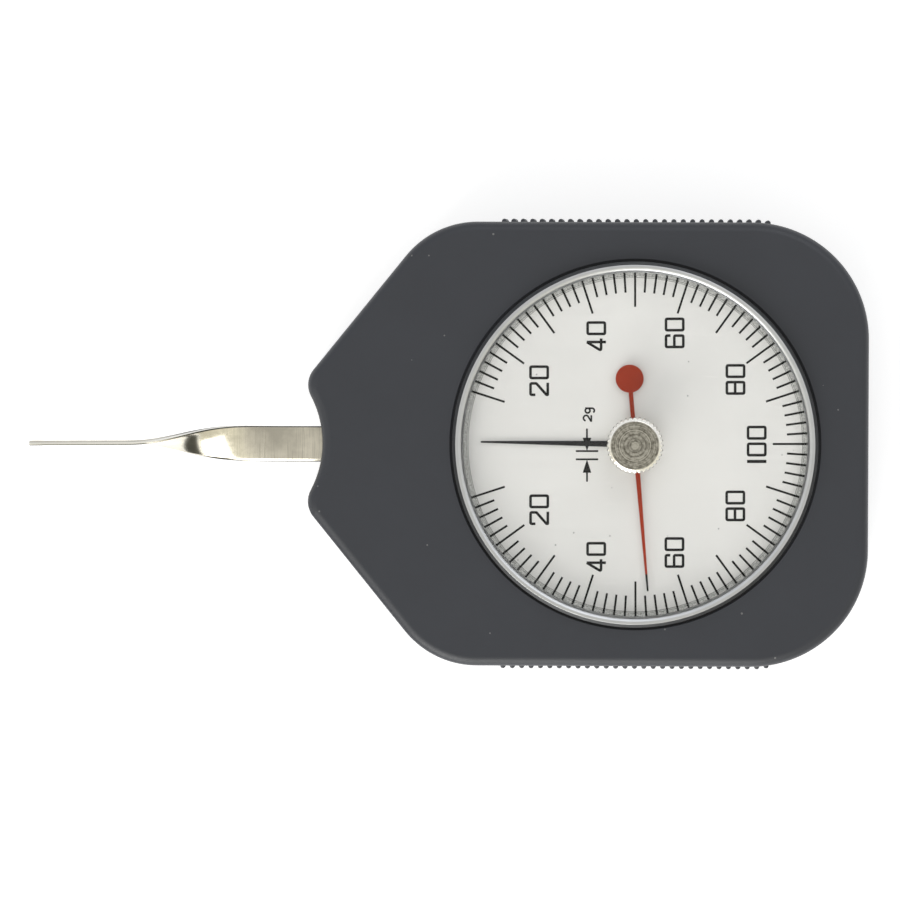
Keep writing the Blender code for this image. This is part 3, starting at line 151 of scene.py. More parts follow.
# Dial print
DIAL_TURN = radians(0.3)
PRINT_LIFT = 0.003 * MM
PRINT_THICKNESS = 0.02 * MM
DIVISIONS_PER_SIDE = 50
FIRST_DIVISION = 5
LONG_EVERY = 5
TICK_WIDTH = 0.29 * MM
TICK_OUTER = 24.2 * MM
LONG_TICK_INNER = 19.18 * MM
SHORT_TICK_INNER = 21.2 * MM
DIGIT_HEIGHT = 2.78 * MM
DIGIT_WIDTH = 1.96 * MM
NARROW_WIDTH = 0.62 * MM
DIGIT_STROKE = 0.37 * MM
NARROW_STROKE = 0.44 * MM
DIGIT_GAP = 0.38 * MM
DIGIT_CORNER = 0.2 * MM

# Each numeral with its foot along X and the middle of its column along Y, in mm
NUMERALS = (
    ("20", -12.03, 8.88), ("40", -4.04, 15.03), ("60", 6.9, 15.53), ("80", 15.38, 9.02),
    ("100", 18.33, -0.09),
    ("80", 15.34, -8.64), ("60", 6.84, -15.15), ("40", -4.09, -15.81), ("20", -12.05, -9.15),
)
# Each digit's strokes as shares of its width and height, and whether a stroke closes
DIGIT_STROKES = {
    "0": [([(0, 0), (1, 0), (1, 1), (0, 1)], True)],
    "1": [([(0.5, -0.06), (0.5, 1.06)], False)],
    "2": [([(0, 0.72), (0, 1), (1, 1), (1, 0.66), (0, 0.08), (0, 0), (1.06, 0)], False)],
    "4": [
        ([(1.07, 0.22), (0, 0.22), (0.76, 1.05)], False),
        ([(0.76, 1.05), (0.76, -0.06)], False),
    ],
    "6": [([(1, 0.74), (1, 1), (0, 1), (0, 0), (1, 0), (1, 0.52), (0.11, 0.52)], False)],
    "8": [([(0, 0), (1, 0), (1, 1), (0, 1)], True), ([(0, 0.52), (1, 0.52)], False)],
}

# Knob
KNOB_RADIUS = 3.95 * MM
KNOB_TOP_RADIUS = 3.37 * MM
KNOB_CHAMFER = 0.5 * MM
KNOB_FLUTES = 36
KNOB_FLUTE_DEPTH = 0.24 * MM
POINTS_PER_FLUTE = 8
KNOB_FACE_LEVEL = 22.45 * MM
KNOB_MARKS = 22
KNOB_MARK_DEPTH = 0.012 * MM

# Feeler blade
BLADE_WIDTH = 5.0 * MM
BLADE_THICKNESS = 0.64 * MM
BLADE_TIP_THICKNESS = 0.7 * MM
BLADE_TIP_LENGTH = 2.2 * MM
BLADE_STRIP_LENGTH = 13.8 * MM
BLADE_TWIST_LENGTH = 20.0 * MM
BLADE_FLAT_LENGTH = 18.7 * MM
BLADE_ROOT_X = -32.7 * MM
BLADE_FLAT_END = BLADE_ROOT_X - BLADE_FLAT_LENGTH
BLADE_TIP = BLADE_FLAT_END - BLADE_TWIST_LENGTH - BLADE_STRIP_LENGTH
BLADE_SIDE_OFFSET = -0.3 * MM
BLADE_BEND = 0.12 * MM
BLADE_EDGE_RADIUS = 0.2 * MM
BLADE_BEVEL_WIDTH = 0.4 * MM
BLADE_BEVEL_DROP = 0.25 * MM
TWIST_BEVEL_DROP = 0.1 * MM
BRIGHT_BEVEL_SHARE = 0.68
RIVET_HOLE = 0.76 * MM

# Main and drag pointer, each arm with its length, its tip's width and its root's width
MAIN_REST = radians(179.35)
MAIN_ARM = (21.6 * MM, 0.24 * MM, 0.9 * MM)
MAIN_TAIL = 3.1 * MM
MAIN_TAIL_WIDTH = 1.3 * MM
MAIN_EYE = 1.9 * MM
MAIN_HOLE = 1.36 * MM
PIN_REACH = 2.6 * MM
PIN_HOLE = 0.28 * MM
DRAG_REST = radians(-84.9)
DRAG_ARM = (20.6 * MM, 0.26 * MM, 0.72 * MM)
DRAG_STEM_WIDTH = 0.6 * MM
DRAG_DISC_DISTANCE = 9.2 * MM
DRAG_DISC_RADIUS = 1.95 * MM
DRAG_EYE = 2.2 * MM
DRAG_HOLE = 1.66 * MM
BLACK_TIP = 2.4 * MM

# Facets
RING_SIDES = 192
SMALL_SIDES = 64
SMALL_REACH = 10.0 * MM
CORNER_STEPS = 36
SHOULDER_STEPS = 18
NOSE_STEPS = 12
NECK_STEPS = 20
FILLET_STEPS = 8
RIB_END_STEPS = 4
RIB_CREST_STEPS = 8
SOFT_STEPS = 3
STRAIGHT = radians(5.0)
EYE_STEPS = 20
TIP_STEPS = 8
TAIL_STEPS = 12
TWIST_STEPS = 80
EDGE_STEPS = 8
FACE_STEPS = 10

# Where the grey levels of a noise texture mostly lie
NOISE_SPAN = (0.3, 0.7)

# Studio
FLOOR_SIZE = 1.4
FLOOR_DROP = 0.02 * MM
FLOOR_COLOUR = (0.8, 0.8, 0.8)
FLOOR_GLOW = 0.6
WORLD_LIGHT = (0.52, 0.52, 0.52)
OVERHEAD_REFLECTION = (0.56, 0.54, 0.5)
FAR_SIDE_REFLECTION = (0.82, 0.83, 0.84)
KEY_SIDE_REFLECTION = (0.8, 0.77, 0.65)
OVERHEAD_EDGE = (0.93, 0.985)
KEY_SIDE_EDGE = (0.6, -0.6)
FLAG_COLOUR = (0.06, 0.06, 0.05)
FLAG_CORNERS = ((-116.0, -140.0), (-28.0, -140.0), (-54.0, -26.0), (-73.0, -4.0))
FLAG_HEIGHT = 0.5

# The record's slot of each node, and each material by its surface's name
SLOTS = {}
FINISHES = {}


def clear_scene():
    for item in list(bpy.data.objects):
        bpy.data.objects.remove(item, do_unlink=True)


def add_object(name, data):
    made = bpy.data.objects.new(name, data)
    bpy.context.scene.collection.objects.link(made)
    return made


# Outlines


def on_circle(centre, radius, angle):
    return (centre[0] + radius * cos(angle), centre[1] + radius * sin(angle))


def arc(centre, radius, start, end, steps):
    turn = end - start
    return [on_circle(centre, radius, start + turn * i / steps) for i in range(steps + 1)]


def rectangle(left, low, right, high):
    return [(left, low), (right, low), (right, high), (left, high)]


def in_mm(points):
    return [(x * MM, y * MM) for x, y in points]


def rotated(points, angle):
    cosine = cos(angle)
    sine = sin(angle)
    return [(x * cosine - y * sine, x * sine + y * cosine) for x, y in points]


def soften(points, radius, closed=True):
    """A polyline with each corner turned into an arc of at most the given radius."""
    result = []
    count = len(points)
    for i, point in enumerate(points):
        corner = Vector(point)
        before = Vector(points[i - 1]) - corner
        after = Vector(points[(i + 1) % count]) - corner
        turn = pi - before.angle(after)
        if turn < STRAIGHT or not closed and i in (0, count - 1):
            result.append(corner)
            continue
        reach = min(radius * tan(turn / 2), 0.45 * min(before.length, after.length))
        start = corner + before.normalized() * reach
        end = corner + after.normalized() * reach
        for k in range(SOFT_STEPS + 1):
            part = k / SOFT_STEPS
            result.append(start.lerp(corner, part).lerp(corner.lerp(end, part), part))
    return result


# Meshes


def shade(mesh):
    mesh.shade_smooth()
    mesh.set_sharp_from_angle(angle=SHARP_ANGLE)
    return mesh


def finish_mesh(name, bm):
    bmesh.ops.recalc_face_normals(bm, faces=bm.faces)
    mesh = bpy.data.meshes.new(name)
    bm.to_mesh(mesh)
    bm.free()
    return shade(mesh)


def add_loft(bm, rings, closed=False):
    """Skins rings of equally many points, capped at both ends unless the rings close."""
    rows = [[bm.verts.new(point) for point in ring] for ring in rings]
    for lower, upper in zip(rows, rows[1:] + rows[:1] if closed else rows[1:]):
        for i in range(len(lower)):
            j = (i + 1) % len(lower)
            bm.faces.new((lower[i], lower[j], upper[j], upper[i]))
    if not closed:
        bm.faces.new(rows[0][::-1])
        bm.faces.new(rows[-1])


def loft(name, rings):
    bm = bmesh.new()
    add_loft(bm, rings)
    return finish_mesh(name, bm)


def prism(name, outline, bottom, top):
    return loft(name, [[(x, y, z) for x, y in outline] for z in (bottom, top)])


def turned(name, profile, centre=ORIGIN, edge=0.0):
    """A solid turned about an upright axis, with its edges rounded.

    Its profile is closed, or starts and ends on the axis. A wide one gets finer facets."""
    sides = RING_SIDES if max(profile)[0] > SMALL_REACH else SMALL_SIDES
    if edge:
        profile = soften(profile, edge, closed=profile[0][0] > 0)
    bm = bmesh.new()
    columns = []
    for radius, height in profile:
        if radius == 0:
            columns.append([bm.verts.new((*centre, height))] * sides)
            continue
        spots = [on_circle(centre, radius, tau * i / sides) for i in range(sides)]
        columns.append([bm.verts.new((*spot, height)) for spot in spots])
    for column, following in zip(columns, columns[1:] + columns[:1]):
        for i in range(sides):
            j = (i + 1) % sides
            corners = dict.fromkeys((column[i], column[j], following[j], following[i]))
            if len(corners) > 2:
                bm.faces.new(list(corners))
    return finish_mesh(name, bm)


def rod(radius, bottom, top, centre=ORIGIN):
    return turned("rod", rectangle(0, bottom, radius, top), centre)


def rods(radius, bottom, top, centres):
    return [rod(radius, bottom, top, centre) for centre in centres]


def combine(name, base, tools, operation):
    """The mesh left when tool meshes are cut from a base, or joined to it."""
    target = add_object(name, base)
    for tool_mesh in tools:
        tool = add_object(name + "_tool", tool_mesh)
        modifier = target.modifiers.new(operation, "BOOLEAN")
        modifier.operation = operation
        modifier.object = tool
        evaluated = target.evaluated_get(bpy.context.evaluated_depsgraph_get())
        result = bpy.data.meshes.new_from_object(evaluated)
        target.modifiers.clear()
        target.data = result
        bpy.data.objects.remove(tool, do_unlink=True)
    mesh = target.data
    bpy.data.objects.remove(target, do_unlink=True)
    return shade(mesh)


def gathered(meshes):
    """One mesh that holds the separate solids of several."""
    bm = bmesh.new()
    for mesh in meshes:
        bm.from_mesh(mesh)
    return finish_mesh("gathered", bm)


def place(name, mesh, body, *nodes, origin=ORIGIN):
    """Puts a piece on a body, in place of a node and with its finish, or as ink."""
    spot = Vector((*origin, 0.0))
    mesh.transform(Matrix.Translation(-spot))
    piece = add_object(name, mesh)
    piece.location = spot
    mesh.materials.clear()
    slot = SLOTS[nodes[0]] if nodes else "pointer_black"
    mesh.materials.append(FINISHES[slot if nodes else "dial_ink"])
    mesh.polygons.foreach_set("material_index", [0] * len(mesh.polygons))
    weighted = piece.modifiers.new("even_normals", "WEIGHTED_NORMAL")
    weighted.keep_sharp = True
    weighted.weight = 50
    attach(piece, body)
    if nodes:
        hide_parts(*nodes)


def place_turned(name, profile, edge, body, node):
    place(name, turned(name, profile, edge=edge), body, node)


# Materials


def shaded(colour, factor):
    return tuple(min(1.0, channel * factor) for channel in colour)


class Graph:
    """The shader nodes of a material or a world."""

    def __init__(self, owner, coordinate):
        owner.use_nodes = True
        self.tree = owner.node_tree
        self.place = self.node("TexCoord").outputs[coordinate]

    def feed(self, node, feeds):
        """Sets a node's inputs, each to a value or to what another node puts out."""
        for key, value in feeds.items():
            socket = node.inputs[key]
            if isinstance(value, bpy.types.NodeSocket):
                self.tree.links.new(value, socket)
            elif socket.type == "RGBA":
                socket.default_value = (*value, 1.0)
            else:
                socket.default_value = value

    def node(self, kind, feeds=None, **settings):
        made = self.tree.nodes.new("ShaderNode" + kind)
        for key, value in settings.items():
            setattr(made, key, value)
        self.feed(made, feeds or {})
        return made

    def math(self, operation, *values):
        return self.node("Math", dict(enumerate(values)), operation=operation).outputs["Value"]

    def axis(self, name):
        return self.node("SeparateXYZ", {"Vector": self.place}).outputs[name]

    def ranged(self, value, low, high, start=0.0, end=1.0, **settings):
        feeds = {"Value": value, "From Min": start, "From Max": end, "To Min": low, "To Max": high}
        return self.node("MapRange", feeds, **settings).outputs["Result"]

    def blend(self, share, first, second):
        """A colour mixed from two by a share; each is a colour or a socket."""
        feeds = {"Factor": share, 6: first, 7: second}
        return self.node("Mix", feeds, data_type="RGBA").outputs[2]

    def rays(self, *kinds):
        """1 for the rays of any of these kinds."""
        path = self.node("LightPath").outputs
        total = path[f"Is {kinds[0]} Ray"]
        for kind in kinds[1:]:
            total = self.math("MAXIMUM", total, path[f"Is {kind} Ray"])
        return total


class Surface(Graph):
    """A Principled material whose colour, roughness and bump are driven by textures."""

    def __init__(self, name, colour, roughness, metallic=0.0, specular=0.5):
        self.material = FINISHES[name] = bpy.data.materials.new(name)
        super().__init__(self.material, "Object")
        self.shader = self.tree.nodes["Principled BSDF"]
        self.set({"Base Color": colour, "Roughness": roughness, "Metallic": metallic,
                  "Specular IOR Level": specular})

    def set(self, feeds):
        self.feed(self.shader, feeds)

    def noise(self, scale, detail=3.0, roughness=0.55):
        """Noise with this many waves per metre, alike in all directions or along each axis."""
        scales = scale if isinstance(scale, tuple) else (scale, scale, scale)
        place = self.node("Mapping", {"Scale": scales, "Vector": self.place}).outputs["Vector"]
        feeds = {"Scale": 1.0, "Detail": detail, "Roughness": roughness, "Vector": place}
        return self.node("TexNoise", feeds).outputs["Fac"]

    def rings(self, radius, pitch):
        """Rings of uneven strength, about a pitch apart along a radius."""
        feeds = {"Scale": 1.0 / pitch, "Detail": 2.0, "W": radius}
        return self.node("TexNoise", feeds, noise_dimensions="1D").outputs["Fac"]

    def speckle(self, cell, radius, rarity):
        """1 within a radius of a scattered few of the points that lie about a cell apart."""
        cells = self.node("TexVoronoi", {"Scale": 1.0 / cell, "Vector": self.place}).outputs
        near = self.math("LESS_THAN", cells["Distance"], radius / cell)
        chosen = self.node("SeparateColor", {"Color": cells["Color"]}).outputs["Red"]
        return self.math("MULTIPLY", near, self.math("GREATER_THAN", chosen, rarity))

    def from_axis(self):
        """Distance from the dial's axis."""
        squares = [self.math("POWER", self.axis(name), 2.0) for name in "XY"]
        return self.math("SQRT", self.math("ADD", *squares))

    def mottled(self, share, colour, dark, light):
        """A blend between a darker and a lighter shade of a colour."""
        return self.blend(share, shaded(colour, dark), shaded(colour, light))

    def finish(self, colour, rough, height, distance, strength):
        """Links the colour, the roughness and a bump; the roughness may span the bump's noise."""
        if isinstance(rough, tuple):
            rough = self.ranged(height, *rough, *NOISE_SPAN)
        bump = self.node("Bump", {"Strength": strength, "Distance": distance, "Height": height})
        self.set({"Base Color": colour, "Roughness": rough, "Normal": bump.outputs["Normal"]})


def case_paint():
    base = (0.0334, 0.0366, 0.0452)
    skin = Surface("case_paint", base, 0.45)
    toned = skin.mottled(skin.noise(90.0, 4.0), base, 0.88, 1.12)
    speck = skin.speckle(2.2 * MM, 0.15 * MM, 0.78)
    grains = skin.noise(5200.0, 2.0)
    colour = skin.blend(speck, toned, (0.16, 0.16, 0.16))
    skin.finish(colour, (0.36, 0.52), grains, 0.01 * MM, 0.5)


def plain_metal(name, colour, roughness):
    skin = Surface(name, colour, roughness, 1.0)
    toned = skin.mottled(skin.noise(300.0), colour, 0.86, 1.12)
    rough = (roughness - 0.07, roughness + 0.12)
    skin.finish(toned, rough, skin.noise(900.0), 0.006 * MM, 0.6)


def turned_metal(name, colour, roughness, pitch, depth, shaded_beyond=None):
    """Metal with fine rings about an axis, left by turning, with painted shade past a distance from
    the axis.
    """
    skin = Surface(name, colour, roughness, 1.0)
    radius = skin.from_axis()
    rings = skin.rings(radius, pitch)
    toned = skin.mottled(skin.noise(420.0), colour, 0.9, 1.1)
    if shaded_beyond:
        # Painted shade: past that distance the colour is halved, darkening the outer flank.
        shaded_flank = skin.math("GREATER_THAN", radius, shaded_beyond)
        toned = skin.blend(shaded_flank, toned, shaded(colour, 0.5))
    skin.finish(toned, (roughness - 0.08, roughness + 0.1), rings, depth, 0.7)


def knob_metal():
    """Nickel, dull and mottled with turning marks on the face, polished and painted near white on
    the chamfer as painted highlight, with painted shade on the crests.
    """
    skin = Surface("knob_nickel", (0.8, 0.78, 0.72), 0.25, 1.0)
    radius = skin.from_axis()
    blotches = skin.noise(2100.0, 4.0, 0.65)
    marks = skin.math("ADD", skin.rings(radius, 0.28 * MM), blotches)
    inside = skin.math("LESS_THAN", radius, KNOB_TOP_RADIUS)
    level = skin.math("GREATER_THAN", skin.axis("Z"), KNOB_FACE_LEVEL)
    face = skin.math("MULTIPLY", inside, level)
    spot = skin.ranged(radius, 0.35, 0.0, 0.35 * MM, 0.6 * MM)
    tone = skin.math("ADD", skin.ranged(marks, 0.0, 1.0, 0.82, 1.18), spot)
    dull = skin.blend(tone, (0.138, 0.129, 0.106), (0.46, 0.442, 0.387))
    # Painted shade on the outer crests of the flutes; the chamfer's near-white colour is partly
    # painted highlight.
    crest = skin.math("GREATER_THAN", radius, KNOB_RADIUS - 0.1 * MM)
    outside = skin.blend(crest, (0.95, 0.93, 0.88), (0.3, 0.29, 0.25))
    colour = skin.blend(face, outside, dull)
    skin.finish(colour, skin.ranged(face, 0.2, 0.48), marks, 0.03 * MM, 0.8)


def feeler_nickel():
    """Polished nickel, ground across near the case, with painted shade along its rounded corners
    and the bevel's outer edge.
    """
    base = (0.92, 0.88, 0.76)
    skin = Surface("feeler_nickel", base, 0.14, 1.0)
    near_case = skin.ranged(skin.axis("X"), 0.0, 1.0, -60.0 * MM, -50.0 * MM)
    lines = skin.noise((6500.0, 150.0, 150.0), 4.0, 0.7)
    stain = skin.noise(190.0, 4.0, 0.6)
    # Near the case the face grades darker towards +Y and lighter towards -Y.
    plus_y_darkening = skin.ranged(skin.axis("Y"), 0.16, -0.1, 2.4 * MM, -2.4 * MM)
    stain_and_grade = skin.math("SUBTRACT", stain, skin.math("MULTIPLY", plus_y_darkening, near_case))
    toned = skin.mottled(skin.ranged(stain_and_grade, 0.0, 1.0, 0.3, 0.62), base, 0.62, 1.0)
    cut = skin.math("MULTIPLY", skin.ranged(lines, 0.0, 1.0, 0.5, 0.68), near_case)
    toned = skin.blend(cut, toned, shaded(base, 0.6))

    # Painted shade: the section's shade share darkens the rounded corners and the bevel's outer
    # edge towards near black.
    section = skin.node("UVMap", uv_map="section").outputs["UV"]
    edge_shade, edge = skin.node("SeparateXYZ", {"Vector": section}).outputs[:2]
    shaded_edges = skin.ranged(edge_shade, 0.0, 1.0, 0.05, 0.5)
    # Past the twist, on the far side, this painted shade fades out.
    past_twist = skin.ranged(skin.axis("X"), 0.7, 0.0, -68.0 * MM, -62.0 * MM)
    far_side = skin.math("GREATER_THAN", skin.axis("Y"), -0.24 * MM)
    bright = skin.math("MULTIPLY", past_twist, far_side)
    shaded_edges = skin.math("MULTIPLY", shaded_edges, skin.math("SUBTRACT", 1.0, bright))
    edge = skin.ranged(edge, 0.0, 1.0, 0.8, 0.95)
    sides = skin.blend(edge, toned, (0.97, 0.96, 0.92))
    colour = skin.blend(shaded_edges, sides, (0.07, 0.068, 0.06))
    rough_face = skin.ranged(near_case, 0.16, 0.3)
    rough = skin.math("MAXIMUM", rough_face, skin.ranged(edge, 0.0, 0.45))
    marks = skin.noise((900.0, 2600.0, 2600.0))
    faint = skin.math("MULTIPLY", marks, skin.ranged(near_case, 0.5, 0.0))
    height = skin.math("ADD", faint, skin.math("MULTIPLY", lines, near_case))
    skin.finish(colour, rough, height, 0.005 * MM, 0.6)


def dial_silver():
    """A silvered plate with faint brushing along X."""
    base = (0.8, 0.79, 0.76)
    skin = Surface("dial_silver", base, 0.4, 0.45)
    brush = skin.noise((60.0, 3800.0, 60.0), 4.0, 0.6)
    cloud = skin.noise((70.0, 45.0, 55.0))
    tone = skin.math("ADD", skin.ranged(brush, -0.16, 0.16), skin.ranged(cloud, 0.1, 0.9))
    toned = skin.mottled(tone, base, 0.91, 1.09)
    scratch = skin.ranged(skin.noise((160.0, 2600.0, 60.0), 1.0), 0.0, 0.35, 0.73, 0.78)
    toned = skin.blend(scratch, toned, shaded(base, 1.2))
    speck = skin.speckle(2.6 * MM, 0.12 * MM, 0.45)
    colour = skin.blend(speck, toned, shaded(base, 0.55))
    skin.finish(colour, (0.32, 0.5), brush, 0.003 * MM, 0.35)


def dial_ink():
    base = (0.009, 0.009, 0.008)
    skin = Surface("dial_ink", base, 0.5, specular=0.1)
    grain = skin.noise(2500.0)
    toned = skin.mottled(grain, base, 0.75, 1.5)
    skin.finish(toned, (0.42, 0.6), grain, 0.004 * MM, 0.4)


def painted(name, colour, tip_colour=None):
    """Satin paint on a pointer, with another colour past a distance from the axis."""
    skin = Surface(name, colour, 0.38, specular=0.2)
    grain = skin.noise(1800.0)
    toned = skin.mottled(grain, colour, 0.85, 1.15)
    if tip_colour:
        start = DRAG_ARM[0] - BLACK_TIP
        beyond = skin.math("GREATER_THAN", skin.from_axis(), start)
        toned = skin.blend(beyond, toned, tip_colour)
    skin.finish(toned, (0.3, 0.5), grain, 0.006 * MM, 0.5)


def clear_crystal():
    """Clear acrylic, frosted at its rim with painted shade there, that lets lamps through to what
    lies under it.
    """
    clear = (0.985, 0.99, 0.985)
    grey = (0.3, 0.31, 0.3)
    skin = Surface("clear_crystal", clear, 0.0)
    skin.set({"Transmission Weight": 1.0, "IOR": 1.25})
    radius = skin.from_axis()
    ground = skin.math("GREATER_THAN", radius, FROST_AND_SHADE_RADIUS)
    speckles = skin.ranged(skin.noise(4200.0), 0.0, 1.0, *NOISE_SPAN)
    # Painted shade: past that radius the crystal is tinted a speckled grey, darkening the dial's
    # edge seen through it.
    rim_shaded = skin.blend(ground, clear, skin.blend(speckles, grey, (0.86, 0.87, 0.86)))
    # A darker grey line marks the inner edge of the painted shade.
    line = skin.math("COMPARE", radius, FROST_AND_SHADE_RADIUS - 0.02 * MM, 0.06 * MM)
    rough = skin.math("MULTIPLY", ground, 0.12)
    skin.set({"Base Color": skin.blend(line, rim_shaded, grey), "Roughness": rough})
    through = skin.node("BsdfTransparent").outputs["BSDF"]
    whole = skin.shader.outputs["BSDF"]
    feeds = {"Fac": skin.rays("Shadow", "Diffuse"), 1: whole, 2: through}
    mix = skin.node("MixShader", feeds).outputs["Shader"]
    skin.feed(skin.tree.nodes["Material Output"], {"Surface": mix})


def make_finishes():
    case_paint()
    plain_metal("brass", (0.72, 0.55, 0.28), 0.26)
    plain_metal("bright_steel", (0.62, 0.61, 0.58), 0.22)
    plain_metal("spring_steel", (0.2, 0.22, 0.3), 0.28)
    turned_metal("screw_steel", (0.42, 0.42, 0.43), 0.32, 0.12 * MM, 0.004 * MM)
    turned_metal("spacer_metal", (0.55, 0.55, 0.55), 0.4, 0.08 * MM, 0.003 * MM)
    # Past the rim's outer edge the bezel's flank gets painted shade.
    rim_edge = LIP_RADIUS + LIP_SLOPE_WIDTH + RIM_WIDTH
    turned_metal("bezel_nickel", (0.61, 0.625, 0.645), 0.36, 0.05 * MM, 0.004 * MM, rim_edge)
    knob_metal()
    feeler_nickel()
    dial_silver()
    clear_crystal()
    dial_ink()
    black = (0.01, 0.01, 0.01)
    painted("pointer_black", black)
    painted("pointer_red", (0.352, 0.028, 0.002), black)


# Case shells


def case_centres():
    """Centres of the arcs of the case's outline: corner, shoulder, nose and neck."""
    neck = Vector((NECK_X - NECK_RADIUS, 0.0))
    corner = Vector((CASE_RIGHT - CORNER_RADIUS, CASE_HALF_WIDTH - CORNER_RADIUS))
    nose_half_width = SLOT_HALF_WIDTH + NOSE_WALL
    normal = Vector((-sin(NOSE_ANGLE), cos(NOSE_ANGLE)))
    reach = sqrt(NECK_RADIUS**2 - nose_half_width**2)
    distance = normal.dot(Vector((neck.x + reach, nose_half_width)))
    shoulder_y = CASE_HALF_WIDTH - SHOULDER_RADIUS
    shoulder = Vector(((distance - SHOULDER_RADIUS - normal.y * shoulder_y) / normal.x, shoulder_y))
    run = Vector((normal.y, -normal.x))
    foot = normal * (distance - NOSE_RADIUS)
    offset = foot - neck
    along = offset.dot(run)
    square = along**2 - offset.length_squared + (NECK_RADIUS + NOSE_RADIUS) ** 2
    nose = foot + run * (sqrt(square) - along)
    return corner, shoulder, nose, neck


CORNER, SHOULDER, NOSE, NECK = case_centres()


def case_ring(inset, height):
    slope_angle = pi / 2 + NOSE_ANGLE
    neck_angle = atan2(NOSE.y - NECK.y, NOSE.x - NECK.x)
    upper = arc(CORNER, CORNER_RADIUS - inset, 0.0, pi / 2, CORNER_STEPS)
    upper += arc(SHOULDER, SHOULDER_RADIUS - inset, pi / 2, slope_angle, SHOULDER_STEPS)
    upper += arc(NOSE, NOSE_RADIUS - inset, slope_angle, pi + neck_angle, NOSE_STEPS)
    middle = arc(NECK, NECK_RADIUS + inset, neck_angle, -neck_angle, NECK_STEPS)
    lower = [(x, -y) for x, y in reversed(upper)]
    return [(x, y, height) for x, y in upper + middle[1:-1] + lower]


def shell_blank(name, fillet, face, inward, seam, step, tongue_top, hollow):
    """Half of the case: its filleted face, its wall, the step at the seam and its hollow."""
    rings = []
    for i in range(FILLET_STEPS + 1):
        angle = pi / 2 * i / FILLET_STEPS
        height = face + inward * fillet * (1 - cos(angle))
        rings.append(case_ring(fillet * (1 - sin(angle)), height))
    for inset, height in (
        (0.0, seam),
        (step, seam),
        (step, tongue_top),
        (CASE_WALL, tongue_top),
        (CASE_WALL, hollow),
    ):
        rings.append(case_ring(inset, height))
    return loft(name, rings)


def screw_places():
    places = []
    for centre, radius, angle in (
        (CORNER, CORNER_RADIUS, pi / 4),
        (SHOULDER, SHOULDER_RADIUS, pi / 2 + NOSE_ANGLE * SHOULDER_SCREW_SHARE),
    ):
        x, y = on_circle(centre, radius - SCREW_INSET, angle)
        places += [(x, y), (x, -y)]
    return places


def wall_reach(x):
    """Half the case's width at x."""
    for centre, radius, side in ((CORNER, CORNER_RADIUS, 1), (SHOULDER, SHOULDER_RADIUS, -1)):
        beyond = side * (x - centre.x)
        if beyond > 0:
            return centre.y + sqrt(radius**2 - beyond**2)
    return CASE_HALF_WIDTH


def rib_mesh(bottom, top):
    """Grip ribs with round crests and round ends, sunk into both long walls."""
    bm = bmesh.new()
    radius = RIB_WIDTH / 2
    foot = -RIB_ROOT - radius
    steps = range(RIB_END_STEPS + 1)
    ends = [(bottom, 1, k) for k in steps] + [(top, -1, k) for k in reversed(steps)]
    for side in (1, -1):
        for i in range(RIB_COUNT):
            middle = RIB_PITCH * (i - (RIB_COUNT - 1) / 2)
            wall = wall_reach(middle)
            rings = []
            for end, inward, k in ends:
                angle = pi / 2 * k / RIB_END_STEPS
                lift = RIB_HEIGHT - RIB_HEIGHT * RIB_END_SLOPE * (1 - sin(angle))
                height = end + inward * RIB_HEIGHT * (1 - cos(angle))
                crest = arc((0.0, lift - radius), radius, 0.0, pi, RIB_CREST_STEPS)
                section = [(radius, foot), *crest, (-radius, foot)]
                rings.append([(middle + x, side * (wall + y), height) for x, y in section])
            add_loft(bm, rings)
    return finish_mesh("ribs", bm)


def slot_mesh():
    outside = NECK_X - NECK_RADIUS / 2
    inside = NECK_X + CASE_WALL + OVERRUN
    outline = rectangle(outside, -SLOT_HALF_WIDTH, inside, SLOT_HALF_WIDTH)
    middle = CASE_THICKNESS / 2
    return prism("slot", outline, middle - SLOT_HEIGHT / 2, middle + SLOT_HEIGHT / 2)


def place_shell(name, node, shell, added, ribs, cuts):
    shell = combine(name, shell, [gathered(added), ribs], "UNION")
    place(name, combine(name, shell, cuts, "DIFFERENCE"), "case", node)


def build_front_shell():
    seam = CASE_THICKNESS / 2 + PARTING_GAP / 2
    tongue_top = CASE_THICKNESS / 2 - PARTING_GAP / 2 + TONGUE_HEIGHT + PARTING_GAP
    step = CASE_WALL - TONGUE_THICKNESS - PARTING_GAP
    top = CASE_THICKNESS
    ceiling = top - FRONT_PLATE
    shell = shell_blank("front_shell", FRONT_FILLET, top, -1, seam, step, tongue_top, ceiling)
    places = screw_places()
    bosses = rods(SCREW_RADIUS + FRONT_BOSS_WALL, tongue_top, ceiling + OVERRUN, places)
    ribs = rib_mesh(seam + RIB_END_LAND / 2, top - FRONT_FILLET - RIB_END_LAND)
    bore = [
        (0, ceiling - OVERRUN),
        (LEDGE_RADIUS, ceiling - OVERRUN),
        (LEDGE_RADIUS, BEZEL_SEAT),
        (BORE_RADIUS, BEZEL_SEAT),
        (BORE_RADIUS, top - BORE_CHAMFER),
        (BORE_RADIUS + BORE_CHAMFER, top),
        (BORE_RADIUS + BORE_CHAMFER, top + OVERRUN),
        (0, top + OVERRUN),
    ]
    pilot_end = SCREW_SEAT + SCREW_LENGTH + SEAT_GAP
    pilots = rods(SCREW_RADIUS + PILOT_PLAY, tongue_top - OVERRUN, pilot_end, places)
    cuts = [turned("bore", bore), slot_mesh(), gathered(pilots)]
    place_shell("front_shell", "front_case", shell, bosses, ribs, cuts)


def movement_posts():
    """The place of each screw of the movement, and the height of its tip."""
    places = []
    for i in range(3):
        low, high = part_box(f"movement_screw_{i + 1}")
        places.append((((low.x + high.x) / 2, (low.y + high.y) / 2), low.z))
    return places


